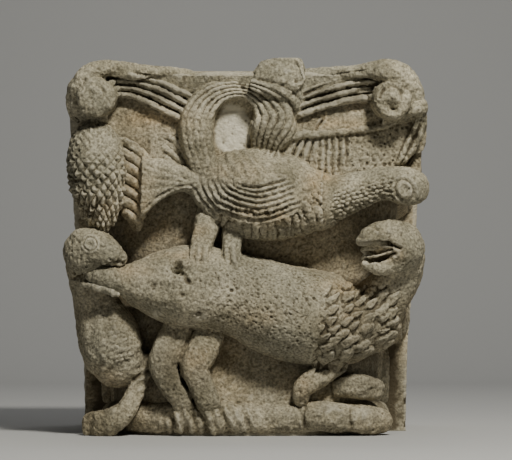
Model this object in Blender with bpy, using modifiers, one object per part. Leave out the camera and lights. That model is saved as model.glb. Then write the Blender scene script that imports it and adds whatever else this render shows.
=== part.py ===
"""A carved stone capital with two birds, one standing on the back of the other, cut from a single block.

Run with: blender --background --python part.py
Units are metres, +Z is up, the carved front looks along -Y, and the origin is the middle of the underside.
"""
import math
import random

import bmesh
import bpy
from mathutils import Matrix, Vector
from mathutils.bvhtree import BVHTree

# Driving dimensions of the finished stone
CAPITAL_WIDTH = 0.376
CAPITAL_HEIGHT = 0.380
CAPITAL_DEPTH = 0.300
BACK_FROM_AXIS = 0.130
BLOCK_BEFORE_AXIS = 0.024
NECKING_RADIUS = 0.016
NECKING_PROJECTION = 0.009
NECKING_LIFT = 0.0015
VOLUTE_RADIUS = 0.0185
VOLUTE_LENGTH = 0.036
EYE_RADIUS = 0.0062
STRAND_RADIUS = 0.0036
STRANDS_PER_VOLUTE = 4
WING_RIDGE_RADIUS = 0.0027
WING_RIDGES = 6
LOOP_RIDGES = 6
CONE_ROWS = 11
LEAF_RIBS = 7
LEAF_RIB_RADIUS = 0.0032
WING_FLUTES = 9
FLUTE_RADIUS = 0.0026
FLANK_RIDGES = 5
FLANK_RIDGE_RADIUS = 0.0034

# The carving was laid out in millimetres on a face this large, and follows the driving dimensions
DRAWN = Vector((376.0, 300.0, 380.0))
SCALE = Vector((CAPITAL_WIDTH / DRAWN.x, CAPITAL_DEPTH / DRAWN.y, CAPITAL_HEIGHT / DRAWN.z))
MM = sum(SCALE) / 3

# The front was drawn as an eye sees it: how far off and how high the eye is, and the plane drawn at true size
EYE_DISTANCE = 2200.0
EYE_HEIGHT = 120.0
DRAWN_PLANE = 150.0

# Half the width and depth of the bell where it meets the necking, and how far rough forms pass a flat cut
BELL_FOOT_HALF = (143.0, 124.0)
BEYOND_CUT = 5.0
NECKING_SQUARENESS = 3.2

# How finely the forms are fused, and how many triangles are kept
FUSE_CELL = 0.0015
TRIANGLES_KEPT = 9650
STONE_COLOUR = (0.30, 0.27, 0.215, 1.0)


def front(x, z, out):
    """A point of the front face: x to the right and z up as drawn, out from the axis towards the eye.

    What lies behind the drawn plane is larger than drawn, by the spread of the sight lines.
    """
    spread = 1 + (DRAWN_PLANE - out) / EYE_DISTANCE
    height = EYE_HEIGHT + (z - EYE_HEIGHT) * spread
    return Vector((x * spread * SCALE.x, -out * SCALE.y, height * SCALE.z))


def left(u, z, out):
    """A point of the left flank: u runs from front to back, out is away from the axis."""
    return Vector((-out * SCALE.x, u * SCALE.y, z * SCALE.z))


def right(u, z, out):
    """A point of the right flank, with u and out as on the left."""
    return Vector((out * SCALE.x, u * SCALE.y, z * SCALE.z))


OUTWARD = {front: Vector((0, -1, 0)), left: Vector((-1, 0, 0)), right: Vector((1, 0, 0))}


def clear_scene():
    for obj in list(bpy.data.objects):
        bpy.data.objects.remove(obj, do_unlink=True)


def between(first, second, share):
    """The line that lies a share of the way from one drawn line to another with as many points."""
    return [tuple(a + (b - a) * share for a, b in zip(p, q)) for p, q in zip(first, second)]


def smooth_line(points, step):
    """Points about a step apart along a Catmull-Rom curve through the drawn points."""
    points = [Vector(p) for p in points]
    padded = [2 * points[0] - points[1]] + points + [2 * points[-1] - points[-2]]
    line = []
    for a, b, c, d in zip(padded, padded[1:], padded[2:], padded[3:]):
        count = max(1, round((c - b).length / step))
        for i in range(count):
            t = i / count
            line.append(0.5 * (2 * b + (c - a) * t + (2 * a - 5 * b + 4 * c - d) * t * t
                               + (3 * b - a - 3 * c + d) * t ** 3))
    line.append(points[-1])
    return line


class Stone:
    """Gathers closed forms into one mesh, and finds its surface for the carving laid on it."""

    def __init__(self):
        self.mesh = bmesh.new()
        self.tree = None

    def add(self, obj):
        """Takes the evaluated mesh of an object into the stone and removes the object."""
        bpy.context.view_layer.update()
        evaluated = obj.evaluated_get(bpy.context.evaluated_depsgraph_get())
        taken = bpy.data.meshes.new_from_object(evaluated)
        taken.transform(obj.matrix_world)
        self.mesh.from_mesh(taken)
        bpy.data.meshes.remove(taken)
        bpy.data.objects.remove(obj, do_unlink=True)

    def freeze(self):
        """Remembers the surface so far, so that what follows can be laid on it."""
        self.tree = BVHTree.FromBMesh(self.mesh)

    def surface(self, face, across, z):
        """The point and normal where a line from outside the face first meets the stone."""
        start = face(across, z, DRAWN.x)
        hit, normal, _, _ = self.tree.ray_cast(start, (face(across, z, 0) - start).normalized())
        return hit, normal

    def to_object(self, name):
        bmesh.ops.remove_doubles(self.mesh, verts=self.mesh.verts, dist=1e-5)
        data = bpy.data.meshes.new(name)
        self.mesh.to_mesh(data)
        self.mesh.free()
        obj = bpy.data.objects.new(name, data)
        bpy.context.scene.collection.objects.link(obj)
        return obj


def link_curve(name, kind):
    curve = bpy.data.curves.new(name, "CURVE")
    curve.dimensions = kind
    obj = bpy.data.objects.new(name, curve)
    bpy.context.scene.collection.objects.link(obj)
    return obj, curve


def limb(stone, face, points, deep=1.0):
    """A rounded form along a line of (across, z, out, radius), squeezed in depth where deep is under 1."""
    obj, curve = link_curve("limb", "3D")
    curve.bevel_depth = 1.0
    curve.bevel_resolution = 5
    curve.use_fill_caps = True
    curve.resolution_u = 6
    middle = sum(p[2] for p in points) / len(points)
    spline = curve.splines.new("BEZIER")
    spline.radius_interpolation = "CARDINAL"
    spline.bezier_points.add(len(points) - 1)
    for knot, (across, z, out, radius) in zip(spline.bezier_points, points):
        knot.co = face(across, z, middle + (out - middle) / deep)
        knot.radius = radius * MM
        knot.handle_left_type = knot.handle_right_type = "AUTO"
    axis = OUTWARD[face]
    squeeze = Matrix.Scale(deep, 4, axis)
    centre = Matrix.Translation(face(0, 0, middle) - face(0, 0, 0))
    obj.matrix_world = centre @ squeeze @ centre.inverted()
    stone.add(obj)


def cord(stone, points, radius, ends=0.45):
    """A thin round ridge along points in metres, drawn in towards its ends."""
    obj, curve = link_curve("ridge", "3D")
    curve.bevel_depth = radius
    curve.bevel_resolution = 2
    curve.use_fill_caps = True
    spline = curve.splines.new("POLY")
    spline.points.add(len(points) - 1)
    last = len(points) - 1
    for i, (knot, point) in enumerate(zip(spline.points, points)):
        knot.co = (*point, 1.0)
        knot.radius = 1.0 if 0 < i < last else ends
    stone.add(obj)


def ridge(stone, face, line, radius, lift=0.25, step=5.0):
    """A ridge laid on the stone along a drawn line of (across, z)."""
    laid = []
    for across, z in smooth_line(line, step):
        hit, normal = stone.surface(face, across, z)
        if hit is not None:
            laid.append(hit + normal * radius * lift)
    if len(laid) > 1:
        cord(stone, laid, radius)


def lump(stone, centre, radii, turn=None, rings=10, segments=16):
    """An ellipsoid with its half sizes in millimetres, turned by a rotation matrix."""
    mesh = bmesh.new()
    bmesh.ops.create_uvsphere(mesh, u_segments=segments, v_segments=rings, radius=1.0)
    data = bpy.data.meshes.new("lump")
    mesh.to_mesh(data)
    mesh.free()
    obj = bpy.data.objects.new("lump", data)
    bpy.context.scene.collection.objects.link(obj)
    size = Matrix.Diagonal(Vector(radii) * MM).to_4x4()
    obj.matrix_world = Matrix.Translation(centre) @ (turn or Matrix.Identity(3)).to_4x4() @ size
    stone.add(obj)


def lock(stone, face, across, z, degrees, length, width, height):
    """A leaf-shaped tuft of feathers laid on the stone, its long axis at an angle above the horizontal."""
    hit, normal = stone.surface(face, across, z)
    if hit is None:
        return
    angle = math.radians(degrees)
    along = face(across + math.cos(angle), z + math.sin(angle), 0) - face(across, z, 0)
    along = (along - normal * along.dot(normal)).normalized()
    side = normal.cross(along)
    turn = Matrix((along, side, normal)).transposed()
    lump(stone, hit, (length / 2, width / 2, height), turn, rings=6, segments=8)


def drum(stone, centre, towards, radius_front, radius_back, length):
    """A round boss: its face is at centre, and it runs back along the opposite of towards."""
    mesh = bmesh.new()
    bmesh.ops.create_cone(mesh, cap_ends=True, segments=28, radius1=radius_back, radius2=radius_front,
                          depth=length)
    data = bpy.data.meshes.new("drum")
    mesh.to_mesh(data)
    mesh.free()
    obj = bpy.data.objects.new("drum", data)
    bpy.context.scene.collection.objects.link(obj)
    towards = towards.normalized()
    obj.matrix_world = (Matrix.Translation(centre - towards * length / 2)
                        @ towards.to_track_quat("Z", "Y").to_matrix().to_4x4())
    bevel = obj.modifiers.new("worn edge", "BEVEL")
    bevel.width = radius_front * 0.16
    bevel.segments = 2
    stone.add(obj)


def plate(stone, outline, out, thickness, round_edge=2.5):
    """A flat outline of (x, z) on the front, its face out from the axis, with rounded edges."""
    obj, curve = link_curve("plate", "2D")
    curve.fill_mode = "BOTH"
    edge = round_edge * MM
    half = thickness * 0.5 * MM
    curve.extrude = half - edge
    curve.bevel_depth = edge
    curve.bevel_resolution = 1
    curve.offset = -edge
    spline = curve.splines.new("POLY")
    spline.points.add(len(outline) - 1)
    for knot, (across, z) in zip(spline.points, outline):
        flat = front(across, z, out)
        knot.co = (flat.x, flat.z, 0, 1)
    spline.use_cyclic_u = True
    upright = Matrix(((1, 0, 0), (0, 0, -1), (0, 1, 0))).to_4x4()
    obj.matrix_world = Matrix.Translation((0, half - out * SCALE.y, 0)) @ upright
    stone.add(obj)


def section(half_width, half_depth, exponent, z, middle=0, count=64):
    """A level ring on a superellipse, round at exponent 2 and squarer above, its middle forward of the axis."""
    ring = []
    for i in range(count):
        angle = 2 * math.pi * i / count
        c, s = math.cos(angle), math.sin(angle)
        x = half_width * math.copysign(abs(c) ** (2 / exponent), c)
        y = half_depth * math.copysign(abs(s) ** (2 / exponent), s) - middle
        ring.append(Vector((x * SCALE.x, y * SCALE.y, z * SCALE.z)))
    return ring


def loft(stone, rings):
    """A closed form through level rings of as many points each."""
    mesh = bmesh.new()
    rings = [[mesh.verts.new(point) for point in ring] for ring in rings]
    for lower, upper in zip(rings, rings[1:]):
        for i in range(len(lower)):
            j = (i + 1) % len(lower)
            mesh.faces.new((lower[i], lower[j], upper[j], upper[i]))
    mesh.faces.new(reversed(rings[0]))
    mesh.faces.new(rings[-1])
    data = bpy.data.meshes.new("loft")
    mesh.to_mesh(data)
    mesh.free()
    obj = bpy.data.objects.new("loft", data)
    bpy.context.scene.collection.objects.link(obj)
    stone.add(obj)


def bell(stone):
    """The core behind the figures, round at the necking and wider under the abacus, and the block behind it."""
    bell_sections = [
        (*BELL_FOOT_HALF, 2.7, 0), (144, 120, 2.8, 40), (147, 111, 2.9, 80), (152, 107, 3.1, 140),
        (160, 109, 3.5, 210), (166, 112, 4.0, 280), (170, 122, 4.8, 325), (173, 138, 5.6, 348),
        (174, 144, 6.0, 369), (173, 38, 6.0, DRAWN.z + BEYOND_CUT),
    ]
    loft(stone, [section(*s) for s in bell_sections])
    fore = BLOCK_BEFORE_AXIS / SCALE.y
    aft = BACK_FROM_AXIS / SCALE.y + BEYOND_CUT
    block_half_widths = [(169, 0), (171, 90), (180, 200), (185, 300), (188, DRAWN.z + BEYOND_CUT)]
    loft(stone, [section(half_width, (fore + aft) / 2, 12, z, middle=(fore - aft) / 2)
                 for half_width, z in block_half_widths])


def necking(stone):
    """The roll round the foot of the capital, on which the lower bird stands."""
    obj, curve = link_curve("necking", "3D")
    curve.bevel_depth = NECKING_RADIUS
    curve.bevel_resolution = 4
    spline = curve.splines.new("POLY")
    past_bell = (NECKING_PROJECTION - NECKING_RADIUS) / MM
    height = (NECKING_RADIUS + NECKING_LIFT) / SCALE.z
    half_width, half_depth = [half + past_bell for half in BELL_FOOT_HALF]
    ring = section(half_width, half_depth, NECKING_SQUARENESS, height)
    spline.points.add(len(ring) - 1)
    for knot, point in zip(spline.points, ring):
        knot.co = (*point, 1)
    spline.use_cyclic_u = True
    stone.add(obj)


def volute(stone, face, across, z, out, lean, turn):
    """A scroll at an upper corner: a boss that leans as it runs back, and the outermost turn round it."""
    centre = face(across, z, out)
    back = face(across + lean[0], z + lean[1], out - VOLUTE_LENGTH / MM)
    drum(stone, centre, centre - back, VOLUTE_RADIUS, VOLUTE_RADIUS * 1.08, (centre - back).length)
    limb(stone, face, [(across + dx, z + dz, out - 16, radius) for dx, dz, radius in turn])


def strand_lines(upper, lower):
    return [between(upper, lower, k / (STRANDS_PER_VOLUTE - 1)) for k in range(STRANDS_PER_VOLUTE)]


def strands(stone, face, upper, lower, out_near, out_far):
    """The stalks that run from a volute to the middle of the face."""
    for line in strand_lines(upper, lower):
        last = len(line) - 1
        path = smooth_line([(*p, out_near + (out_far - out_near) * i / last) for i, p in enumerate(line)], 7)
        cord(stone, [face(p.x, p.y, p.z) for p in path], STRAND_RADIUS, ends=0.8)


LEFT_UPPER_STRAND = [(-155, 363), (-140, 369), (-120, 368.5), (-100, 363), (-77, 353), (-55, 343)]
LEFT_LOWER_STRAND = [(-135, 349), (-125, 349), (-113, 346.5), (-98, 340.5), (-80, 331), (-64, 322)]
RIGHT_UPPER_STRAND = [(139, 368), (123, 365), (107, 361), (90, 356), (73, 351), (55, 347)]
RIGHT_LOWER_STRAND = [(129, 343), (120, 340.5), (107, 338), (90, 332.5), (70, 327), (52, 322)]


def corner_scrolls(stone):
    left_turn = [(26, 17, 8), (10, 21, 11), (-8, 20, 11), (-20, 9, 10), (-23, -7, 8)]
    right_turn = [(-22, 20, 8), (-4, 24, 13), (12, 20, 14), (22, 6, 10), (24, -10, 8)]
    volute(stone, front, -149, 343, 162, (3, -10), left_turn)
    volute(stone, front, 148, 341, 163, (-5, -6), right_turn)
    side_turn = [(18, 15, 8), (0, 20, 10), (-16, 12, 9)]
    volute(stone, left, -128, 337, 176, (0, -4), side_turn)
    volute(stone, right, -128, 334, 176, (0, -4), side_turn)
    strands(stone, front, LEFT_UPPER_STRAND, LEFT_LOWER_STRAND, 154, 142)
    strands(stone, front, RIGHT_UPPER_STRAND, RIGHT_LOWER_STRAND, 156, 144)
    side_upper = [(-112, 352), (-80, 358), (-30, 354), (20, 346), (70, 336), (128, 330)]
    side_lower = [(-104, 334), (-78, 338), (-30, 332), (20, 322), (70, 310), (128, 304)]
    for face in (left, right):
        strands(stone, face, side_upper, side_lower, 170, 162)


def lower_bird(stone):
    """The big bird whose tail lies in the beak at the left corner, its neck turned up the right corner."""
    limb(stone, front, [(-153, 163, 140, 5), (-140, 161, 142, 10), (-122, 157, 140, 15), (-100, 153, 134, 29),
                        (-74, 151, 128, 39), (-44, 149, 125, 42), (-6, 142, 122, 41), (36, 126, 119, 47),
                        (70, 119, 116, 48), (96, 114, 112, 44), (124, 117, 106, 33)], deep=0.98)
    limb(stone, front, [(118, 118, 104, 30), (138, 134, 108, 25), (150, 155, 112, 21), (157, 178, 120, 20)])
    lump(stone, front(164, 190, 136), (17, 24, 24))
    limb(stone, front, [(168, 192, 138, 15), (152, 205, 144, 13), (135, 205, 148, 10), (120, 200, 148, 6),
                        (113, 197, 147, 3)])
    limb(stone, front, [(168, 184, 138, 13), (153, 172, 142, 7.5), (135, 169, 144, 5.5), (118, 172.5, 145, 3.5)])
    limb(stone, front, [(116, 186, 140, 3), (130, 188, 143, 4), (145, 190, 142, 3)])
    limb(stone, front, [(124, 178, 142, 4), (139, 182, 146, 4.5), (154, 187, 144, 3.5)])
    legs = [
        [(-64, 108, 122, 12), (-76, 90, 127, 12.5), (-83, 74, 130, 11), (-72, 54, 132, 8.5),
         (-62, 32, 136, 7.5)],
        [(-33, 104, 126, 13), (-40, 88, 132, 14), (-50, 67, 135, 12.5), (-40, 48, 137, 9.5),
         (-33, 26, 140, 8.5)],
        [(90, 74, 112, 12), (76, 64, 120, 12), (62, 50, 128, 11.5), (57, 34, 134, 10)],
    ]
    for leg in legs:
        limb(stone, front, leg)
    toes = [((-62, 30), (-74, 13)), ((-60, 28), (-65, 8)), ((-56, 28), (-55, 8)),
            ((-34, 26), (-37, 6)), ((-27, 28), (-24, 6)), ((-20, 28), (-12, 7)), ((-14, 27), (-2, 9)),
            ((58, 34), (56, 10)), ((66, 36), (69, 10)), ((72, 34), (81, 14))]
    for (x0, z0), (x1, z1) in toes:
        limb(stone, front, [(x0, z0, 137, 4.6), ((x0 + x1) / 2, (z0 + z1) / 2, 139, 5), (x1, z1, 134, 3.6)])
    lump(stone, front(111, 51, 112), (19, 14, 12.5))
    lump(stone, front(127, 47, 104), (13, 14, 13))


def left_bird(stone):
    """The bird at the left corner: it bites the tail of the big bird and hangs down the corner."""
    lump(stone, front(-157, 183.5, 136), (25.5, 27, 25))
    limb(stone, front, [(-160, 190, 138, 18), (-146, 187, 146, 16), (-134, 182, 149, 11), (-125, 177, 149, 6),
                        (-122, 175, 148, 3)])
    limb(stone, front, [(-164, 156, 136, 3), (-146, 150, 142, 3.4), (-128, 143.5, 142, 2.4)])
    limb(stone, front, [(-158, 172, 126, 20), (-155, 152, 114, 20), (-147, 130, 106, 25), (-136, 100, 106, 31),
                        (-130, 74, 106, 31), (-127, 54, 102, 24), (-126, 42, 98, 12)])
    limb(stone, front, [(-86, 66, 116, 7), (-93, 48, 124, 9), (-101, 28, 130, 9.5), (-113, 14, 132, 9.5),
                        (-132, 12, 130, 9.5), (-147, 24, 120, 9), (-151, 40, 108, 8)])


def upper_bird(stone):
    """The bird above: spread tail at the left, belly in the middle, neck and head out to the right corner."""
    limb(stone, front, [(-50, 254, 134, 9), (-32, 251, 128, 28), (-6, 247, 124, 42), (17, 243, 123, 47),
                        (42, 240, 124, 44), (64, 236, 127, 36), (79, 235, 129, 28)])
    limb(stone, front, [(-47, 300, 137, 14), (-43, 280, 136, 16), (-34, 256, 132, 20)])
    limb(stone, front, [(74, 236, 128, 25), (92, 240, 132, 22.5), (110, 246, 134, 19.5), (127, 251, 136, 17.5),
                        (142, 254, 137, 17), (160, 253.5, 136, 18.5), (172, 253, 130, 14), (180, 252, 122, 7)])
    tail = [(-45, 258), (-45, 247), (-70, 245), (-88, 235.5), (-103, 220), (-98, 241), (-97, 262), (-97, 281),
            (-78, 278), (-59, 268)]
    plate(stone, tail, 144, 44)
    limb(stone, front, [(-104, 221, 142, 3.5), (-88, 234, 144, 3.5), (-70, 243.5, 145, 3.5), (-52, 248, 146, 3.5),
                        (-42, 240, 148, 3.5)])
    limb(stone, front, [(-38, 218, 136, 12), (-40, 208, 140, 12.5), (-44, 196, 142, 9), (-45, 184, 150, 8.5)])
    limb(stone, front, [(-12, 205, 138, 8), (-14, 198, 144, 8.5), (-16, 188, 146, 8), (-18, 178, 154, 7)])
    for x0, x1 in ((-47, -58), (-44, -46), (-42, -35), (-20, -26), (-17, -14), (-15, -4)):
        limb(stone, front, [(x0, 188, 154, 3.6), ((x0 + x1) / 2, 181, 160, 3.8), (x1, 174, 164, 2.8)])


# The looped neck, from its foot at the left over the top and down at the right
LOOP_OUTER = [(-60, 284), (-62, 319), (-55, 338), (-40, 351.5), (-18, 355), (5, 353), (27, 346), (43, 334),
              (48, 321), (43, 307), (28, 286)]
LOOP_INNER = [(-33, 284), (-34, 311), (-29, 327), (-21, 337.5), (-11, 342), (0, 341), (8, 333), (10, 321),
              (9.5, 311), (8, 301), (3, 286)]


def looped_neck(stone):
    middle = between(LOOP_OUTER, LOOP_INNER, 0.5)
    halves = [(Vector(o) - Vector(i)).length / 2 for o, i in zip(LOOP_OUTER, LOOP_INNER)]
    limb(stone, front, [(x, z, 133, half - 1.0) for (x, z), half in zip(middle, halves)], deep=0.75)
    for k in range(LOOP_RIDGES):
        share = k / (LOOP_RIDGES - 1)
        crown = 146 + 5 * math.sin(math.pi * (0.15 + 0.7 * share))
        line = between(LOOP_OUTER, LOOP_INNER, share)
        radii = [0.6 + half * 1.05 / LOOP_RIDGES for half in halves]
        limb(stone, front, [(x, z, crown, radius) for (x, z), radius in zip(line, radii)])


def broken_head(stone):
    """What is left of the head that the looped neck carried, broken off square at the top edge."""
    head = [(10, 362), (13, 371), (24, 378.5), (40, 381.5), (52, 382), (57, 378), (59, 369), (58, 354), (50, 346),
            (36, 349), (22, 356)]
    plate(stone, head, 162, 46, round_edge=4)
    limb(stone, front, [(24, 362, 156, 7), (36, 356, 160, 7), (47, 344, 160, 6)])


def right_wing(stone):
    """The spread wing behind the neck of the upper bird."""
    outline = [(42, 301), (60, 303), (75, 302), (96, 305), (127, 306), (142, 310), (157, 317), (171, 322),
               (179, 319), (175, 306), (160, 270), (140, 262), (110, 252), (78, 256), (60, 266), (40, 284)]
    plate(stone, outline, 139, 40)
    ground = [(38, 318), (60, 328), (95, 336), (125, 338), (150, 334), (171, 324), (157, 315), (127, 304),
              (96, 303), (60, 301), (40, 298)]
    plate(stone, ground, 136, 40)
    rim = [(42, 300, 140, 3.2), (60, 303, 141, 3.2), (78, 302, 142, 3.4), (100, 305, 142, 3.4),
           (127, 306, 144, 3.6), (143, 310, 148, 3.6), (158, 317, 152, 3.8), (172, 322, 152, 4)]
    limb(stone, front, rim)
    for x0, z0, x1, z1 in ((172, 318, 152, 276), (178, 314, 161, 270)):
        limb(stone, front, [(x0, z0, 148, 3.6), ((x0 + x1) / 2, (z0 + z1) / 2, 144, 3.6), (x1, z1, 140, 3.2)])
    limb(stone, front, [(172, 328, 146, 12), (177, 310, 136, 8), (174, 290, 122, 9)])


def cone_and_leaf(stone):
    """The pine cone that hangs at the left corner, the ribbed leaf beside it and the ground they share."""
    ground = [(-128, 352), (-100, 347), (-75, 338), (-56, 326), (-56, 260), (-84, 258), (-97, 270), (-112, 290),
              (-127, 300)]
    plate(stone, ground, 133, 40)
    limb(stone, front, [(-150, 313, 128, 13), (-150.5, 299, 131, 25), (-149.5, 274, 132, 29.5), (-148, 248, 130, 26.5),
                        (-146, 232, 128, 21.5), (-145.5, 217, 126, 14.5), (-145, 205, 124, 5)])
    leaf = [(-124, 300), (-110, 296), (-96, 283), (-95.5, 255), (-102, 222), (-108, 210), (-118, 220), (-123, 250)]
    plate(stone, leaf, 137, 40)


def flanks(stone):
    """Plainer figures on the two flanks, which the front view hides."""
    for face in (left, right):
        limb(stone, face, [(-84, 132, 150, 20), (-50, 128, 146, 32), (-10, 120, 142, 38), (35, 106, 140, 34),
                           (80, 92, 142, 20), (124, 84, 146, 12)])
        limb(stone, face, [(-78, 262, 150, 18), (-40, 256, 146, 30), (0, 250, 146, 34), (40, 244, 146, 28),
                           (84, 240, 148, 16), (124, 250, 150, 12)])
        for u in (-26, 14):
            limb(stone, face, [(u + 8, 84, 146, 12), (u - 4, 62, 150, 11), (u + 6, 34, 152, 8)])


def scales_of_cone(stone):
    """Rounded scales in staggered rows round the pine cone, larger towards its tip."""
    for row in range(CONE_ROWS):
        share = row / (CONE_ROWS - 1)
        z = 302 - 92 * share
        half = 27 * math.sqrt(max(0.06, 1 - abs((z - 272) / (38 if z > 272 else 72)) ** 2.2))
        count = max(2, round(half * 2 / 10))
        for i in range(count):
            across = -149 + 3.5 * share + half * 0.92 * (2 * (i + 0.5 * (row % 2) + 0.25) / count - 1)
            lock(stone, front, across, z, -90, 8.5 + 3 * share, 7.5, 1.6 + 2.2 * share)


WING_INNER = [(-9, 253), (13, 248), (30, 251), (51, 258)]
WING_OUTER = [(-45, 250), (-18, 223), (12, 214), (58, 226)]


def wing_ridges(stone):
    for k in range(WING_RIDGES):
        line = between(WING_INNER, WING_OUTER, (k + 0.3) / (WING_RIDGES - 0.4))
        ridge(stone, front, line, WING_RIDGE_RADIUS, lift=0.5)


def belly_locks(stone):
    """Two rows of hanging tufts under the folded wing."""
    for row, (z_left, z_mid, z_right) in enumerate(((221, 211, 219), (213, 203, 212))):
        count = 11
        for i in range(count):
            t = (i + 0.5 * row) / (count - 0.5)
            across = -21 + 98 * t
            z = z_left * (1 - t) ** 2 + 2 * t * (1 - t) * (2 * z_mid - (z_left + z_right) / 2) + z_right * t * t
            lock(stone, front, across, z, -100 + 35 * t, 17, 9, 4.2)


def mane_locks(stone):
    """Leaf-shaped feathers in slanting rows over the breast of the lower bird."""
    shuffle = random.Random(7)
    angle = math.radians(38)
    along, across = Vector((math.cos(angle), math.sin(angle))), Vector((-math.sin(angle), math.cos(angle)))
    for i in range(-3, 4):
        for j in range(-5, 6):
            spot = Vector((107, 116)) + along * (i * 17 + (j % 2) * 8.5) + across * (j * 9.5)
            if not mane_covers(spot):
                continue
            lock(stone, front, spot.x, spot.y, 38 + shuffle.uniform(-8, 8), 18, 8.6, 3.8)


def mane_covers(spot):
    """Whether a spot lies on the breast, between the pitted body at the left and the neck at the right."""
    low = spot.x - 74 - 0.25 * (spot.y - 116)
    top = 156 - 0.16 * (spot.x - 90)
    bottom = 78 + 0.42 * max(0, spot.x - 100)
    return low > 0 and spot.x < 150 and bottom < spot.y < top


def leaf_ribs(stone):
    for i in range(LEAF_RIBS):
        z = 288 - 80 * i / LEAF_RIBS
        ridge(stone, front, [(-120, z + 4), (-110, z - 4), (-99 - 0.8 * i, z - 13)], LEAF_RIB_RADIUS, lift=0.1)


def wing_flutes(stone):
    for i in range(WING_FLUTES):
        x = 50 + 104 * i / WING_FLUTES
        ridge(stone, front, [(x + 3, 300), (x - 1, 284), (x - 3, 268 - 4 * math.sin(i))], FLUTE_RADIUS, lift=0.1)


def eyes(stone):
    for face, x, z in ((front, -154.5, 192), (front, 161, 247.5)):
        hit, normal = stone.surface(face, x, z)
        angles = [2 * math.pi * k / 12 for k in range(13)]
        ring = [hit + Vector((math.cos(a), 0, math.sin(a))) * EYE_RADIUS for a in angles]
        cord(stone, ring, EYE_RADIUS * 0.3, ends=1)
        pupil = EYE_RADIUS / MM * 0.42
        lump(stone, hit, (pupil, pupil * 0.7, pupil), rings=6, segments=8)


def side_ridges(stone):
    lower = ([(-30, 150), (0, 132), (46, 132)], [(-62, 128), (0, 88), (62, 100)])
    upper = ([(-30, 270), (0, 258), (40, 262)], [(-56, 252), (0, 224), (60, 236)])
    for face in (left, right):
        for inner, outer in (lower, upper):
            for k in range(FLANK_RIDGES):
                line = between(inner, outer, (k + 0.5) / FLANK_RIDGES)
                ridge(stone, face, line, FLANK_RIDGE_RADIUS, lift=0.15, step=8)


def box_cutter(name, low, high):
    mesh = bmesh.new()
    bmesh.ops.create_cube(mesh, size=1.0)
    low, high = Vector(low), Vector(high)
    bmesh.ops.transform(mesh, verts=mesh.verts,
                        matrix=Matrix.Translation((low + high) / 2) @ Matrix.Diagonal(high - low).to_4x4())
    data = bpy.data.meshes.new(name)
    mesh.to_mesh(data)
    mesh.free()
    obj = bpy.data.objects.new(name, data)
    obj.hide_render = True
    obj.display_type = "WIRE"
    return obj


def stone_material():
    material = bpy.data.materials.new("weathered_stone")
    material.use_nodes = True
    shader = material.node_tree.nodes["Principled BSDF"]
    shader.inputs["Base Color"].default_value = STONE_COLOUR
    shader.inputs["Roughness"].default_value = 0.9
    shader.inputs["Metallic"].default_value = 0.0
    return material


def fuse(obj):
    """Fuses the forms into one skin, thins it, and cuts the bed, the top and the back flat."""
    remesh = obj.modifiers.new("fuse", "REMESH")
    remesh.mode = "VOXEL"
    remesh.voxel_size = FUSE_CELL
    worn = obj.modifiers.new("wear", "SMOOTH")
    worn.factor = 0.35
    worn.iterations = 1
    bpy.context.view_layer.update()
    skin = bpy.data.meshes.new_from_object(obj.evaluated_get(bpy.context.evaluated_depsgraph_get()))
    skin.calc_loop_triangles()
    thin = obj.modifiers.new("thin", "DECIMATE")
    thin.ratio = TRIANGLES_KEPT / len(skin.loop_triangles)
    bpy.data.meshes.remove(skin)
    cutters = bpy.data.collections.new("cutters")
    bpy.context.scene.collection.children.link(cutters)
    far = CAPITAL_WIDTH + CAPITAL_HEIGHT
    cuts = {
        "below_bed": ((-far, -far, -far), (far, far, 0)),
        "behind_back": ((-far, BACK_FROM_AXIS, -far), (far, far, far)),
        "above_top_bed": ((-far, -far, CAPITAL_HEIGHT), (far, far, far)),
    }
    for name, (low, high) in cuts.items():
        cutter = box_cutter(name, low, high)
        cutters.objects.link(cutter)
        cut = obj.modifiers.new(name, "BOOLEAN")
        cut.operation = "DIFFERENCE"
        cut.object = cutter


def build():
    clear_scene()
    stone = Stone()
    bell(stone)
    necking(stone)
    corner_scrolls(stone)
    lower_bird(stone)
    left_bird(stone)
    upper_bird(stone)
    looped_neck(stone)
    broken_head(stone)
    right_wing(stone)
    cone_and_leaf(stone)
    flanks(stone)
    stone.freeze()
    carving = (scales_of_cone, wing_ridges, belly_locks, mane_locks, leaf_ribs, wing_flutes, eyes, side_ridges)
    for carve in carving:
        carve(stone)
    capital = stone.to_object("capital")
    capital.data.materials.append(stone_material())
    group = bpy.data.collections.new("historiated_capital")
    bpy.context.scene.collection.children.link(group)
    bpy.context.scene.collection.objects.unlink(capital)
    group.objects.link(capital)
    fuse(capital)


build()
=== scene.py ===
# %% [markdown]
# # A carved capital of a wall column
#
# The real object is one block of limestone. Its front is cut in deep relief: a big bird at the foot, a second
# bird that stands on its back, a third at the left corner, a pine cone, leaves and corner scrolls.
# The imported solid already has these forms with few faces. Here each figure is made again with a fine mesh,
# in the same place, so that feathers, scales, pits and tool marks are real geometry.

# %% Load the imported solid
import math

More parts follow.
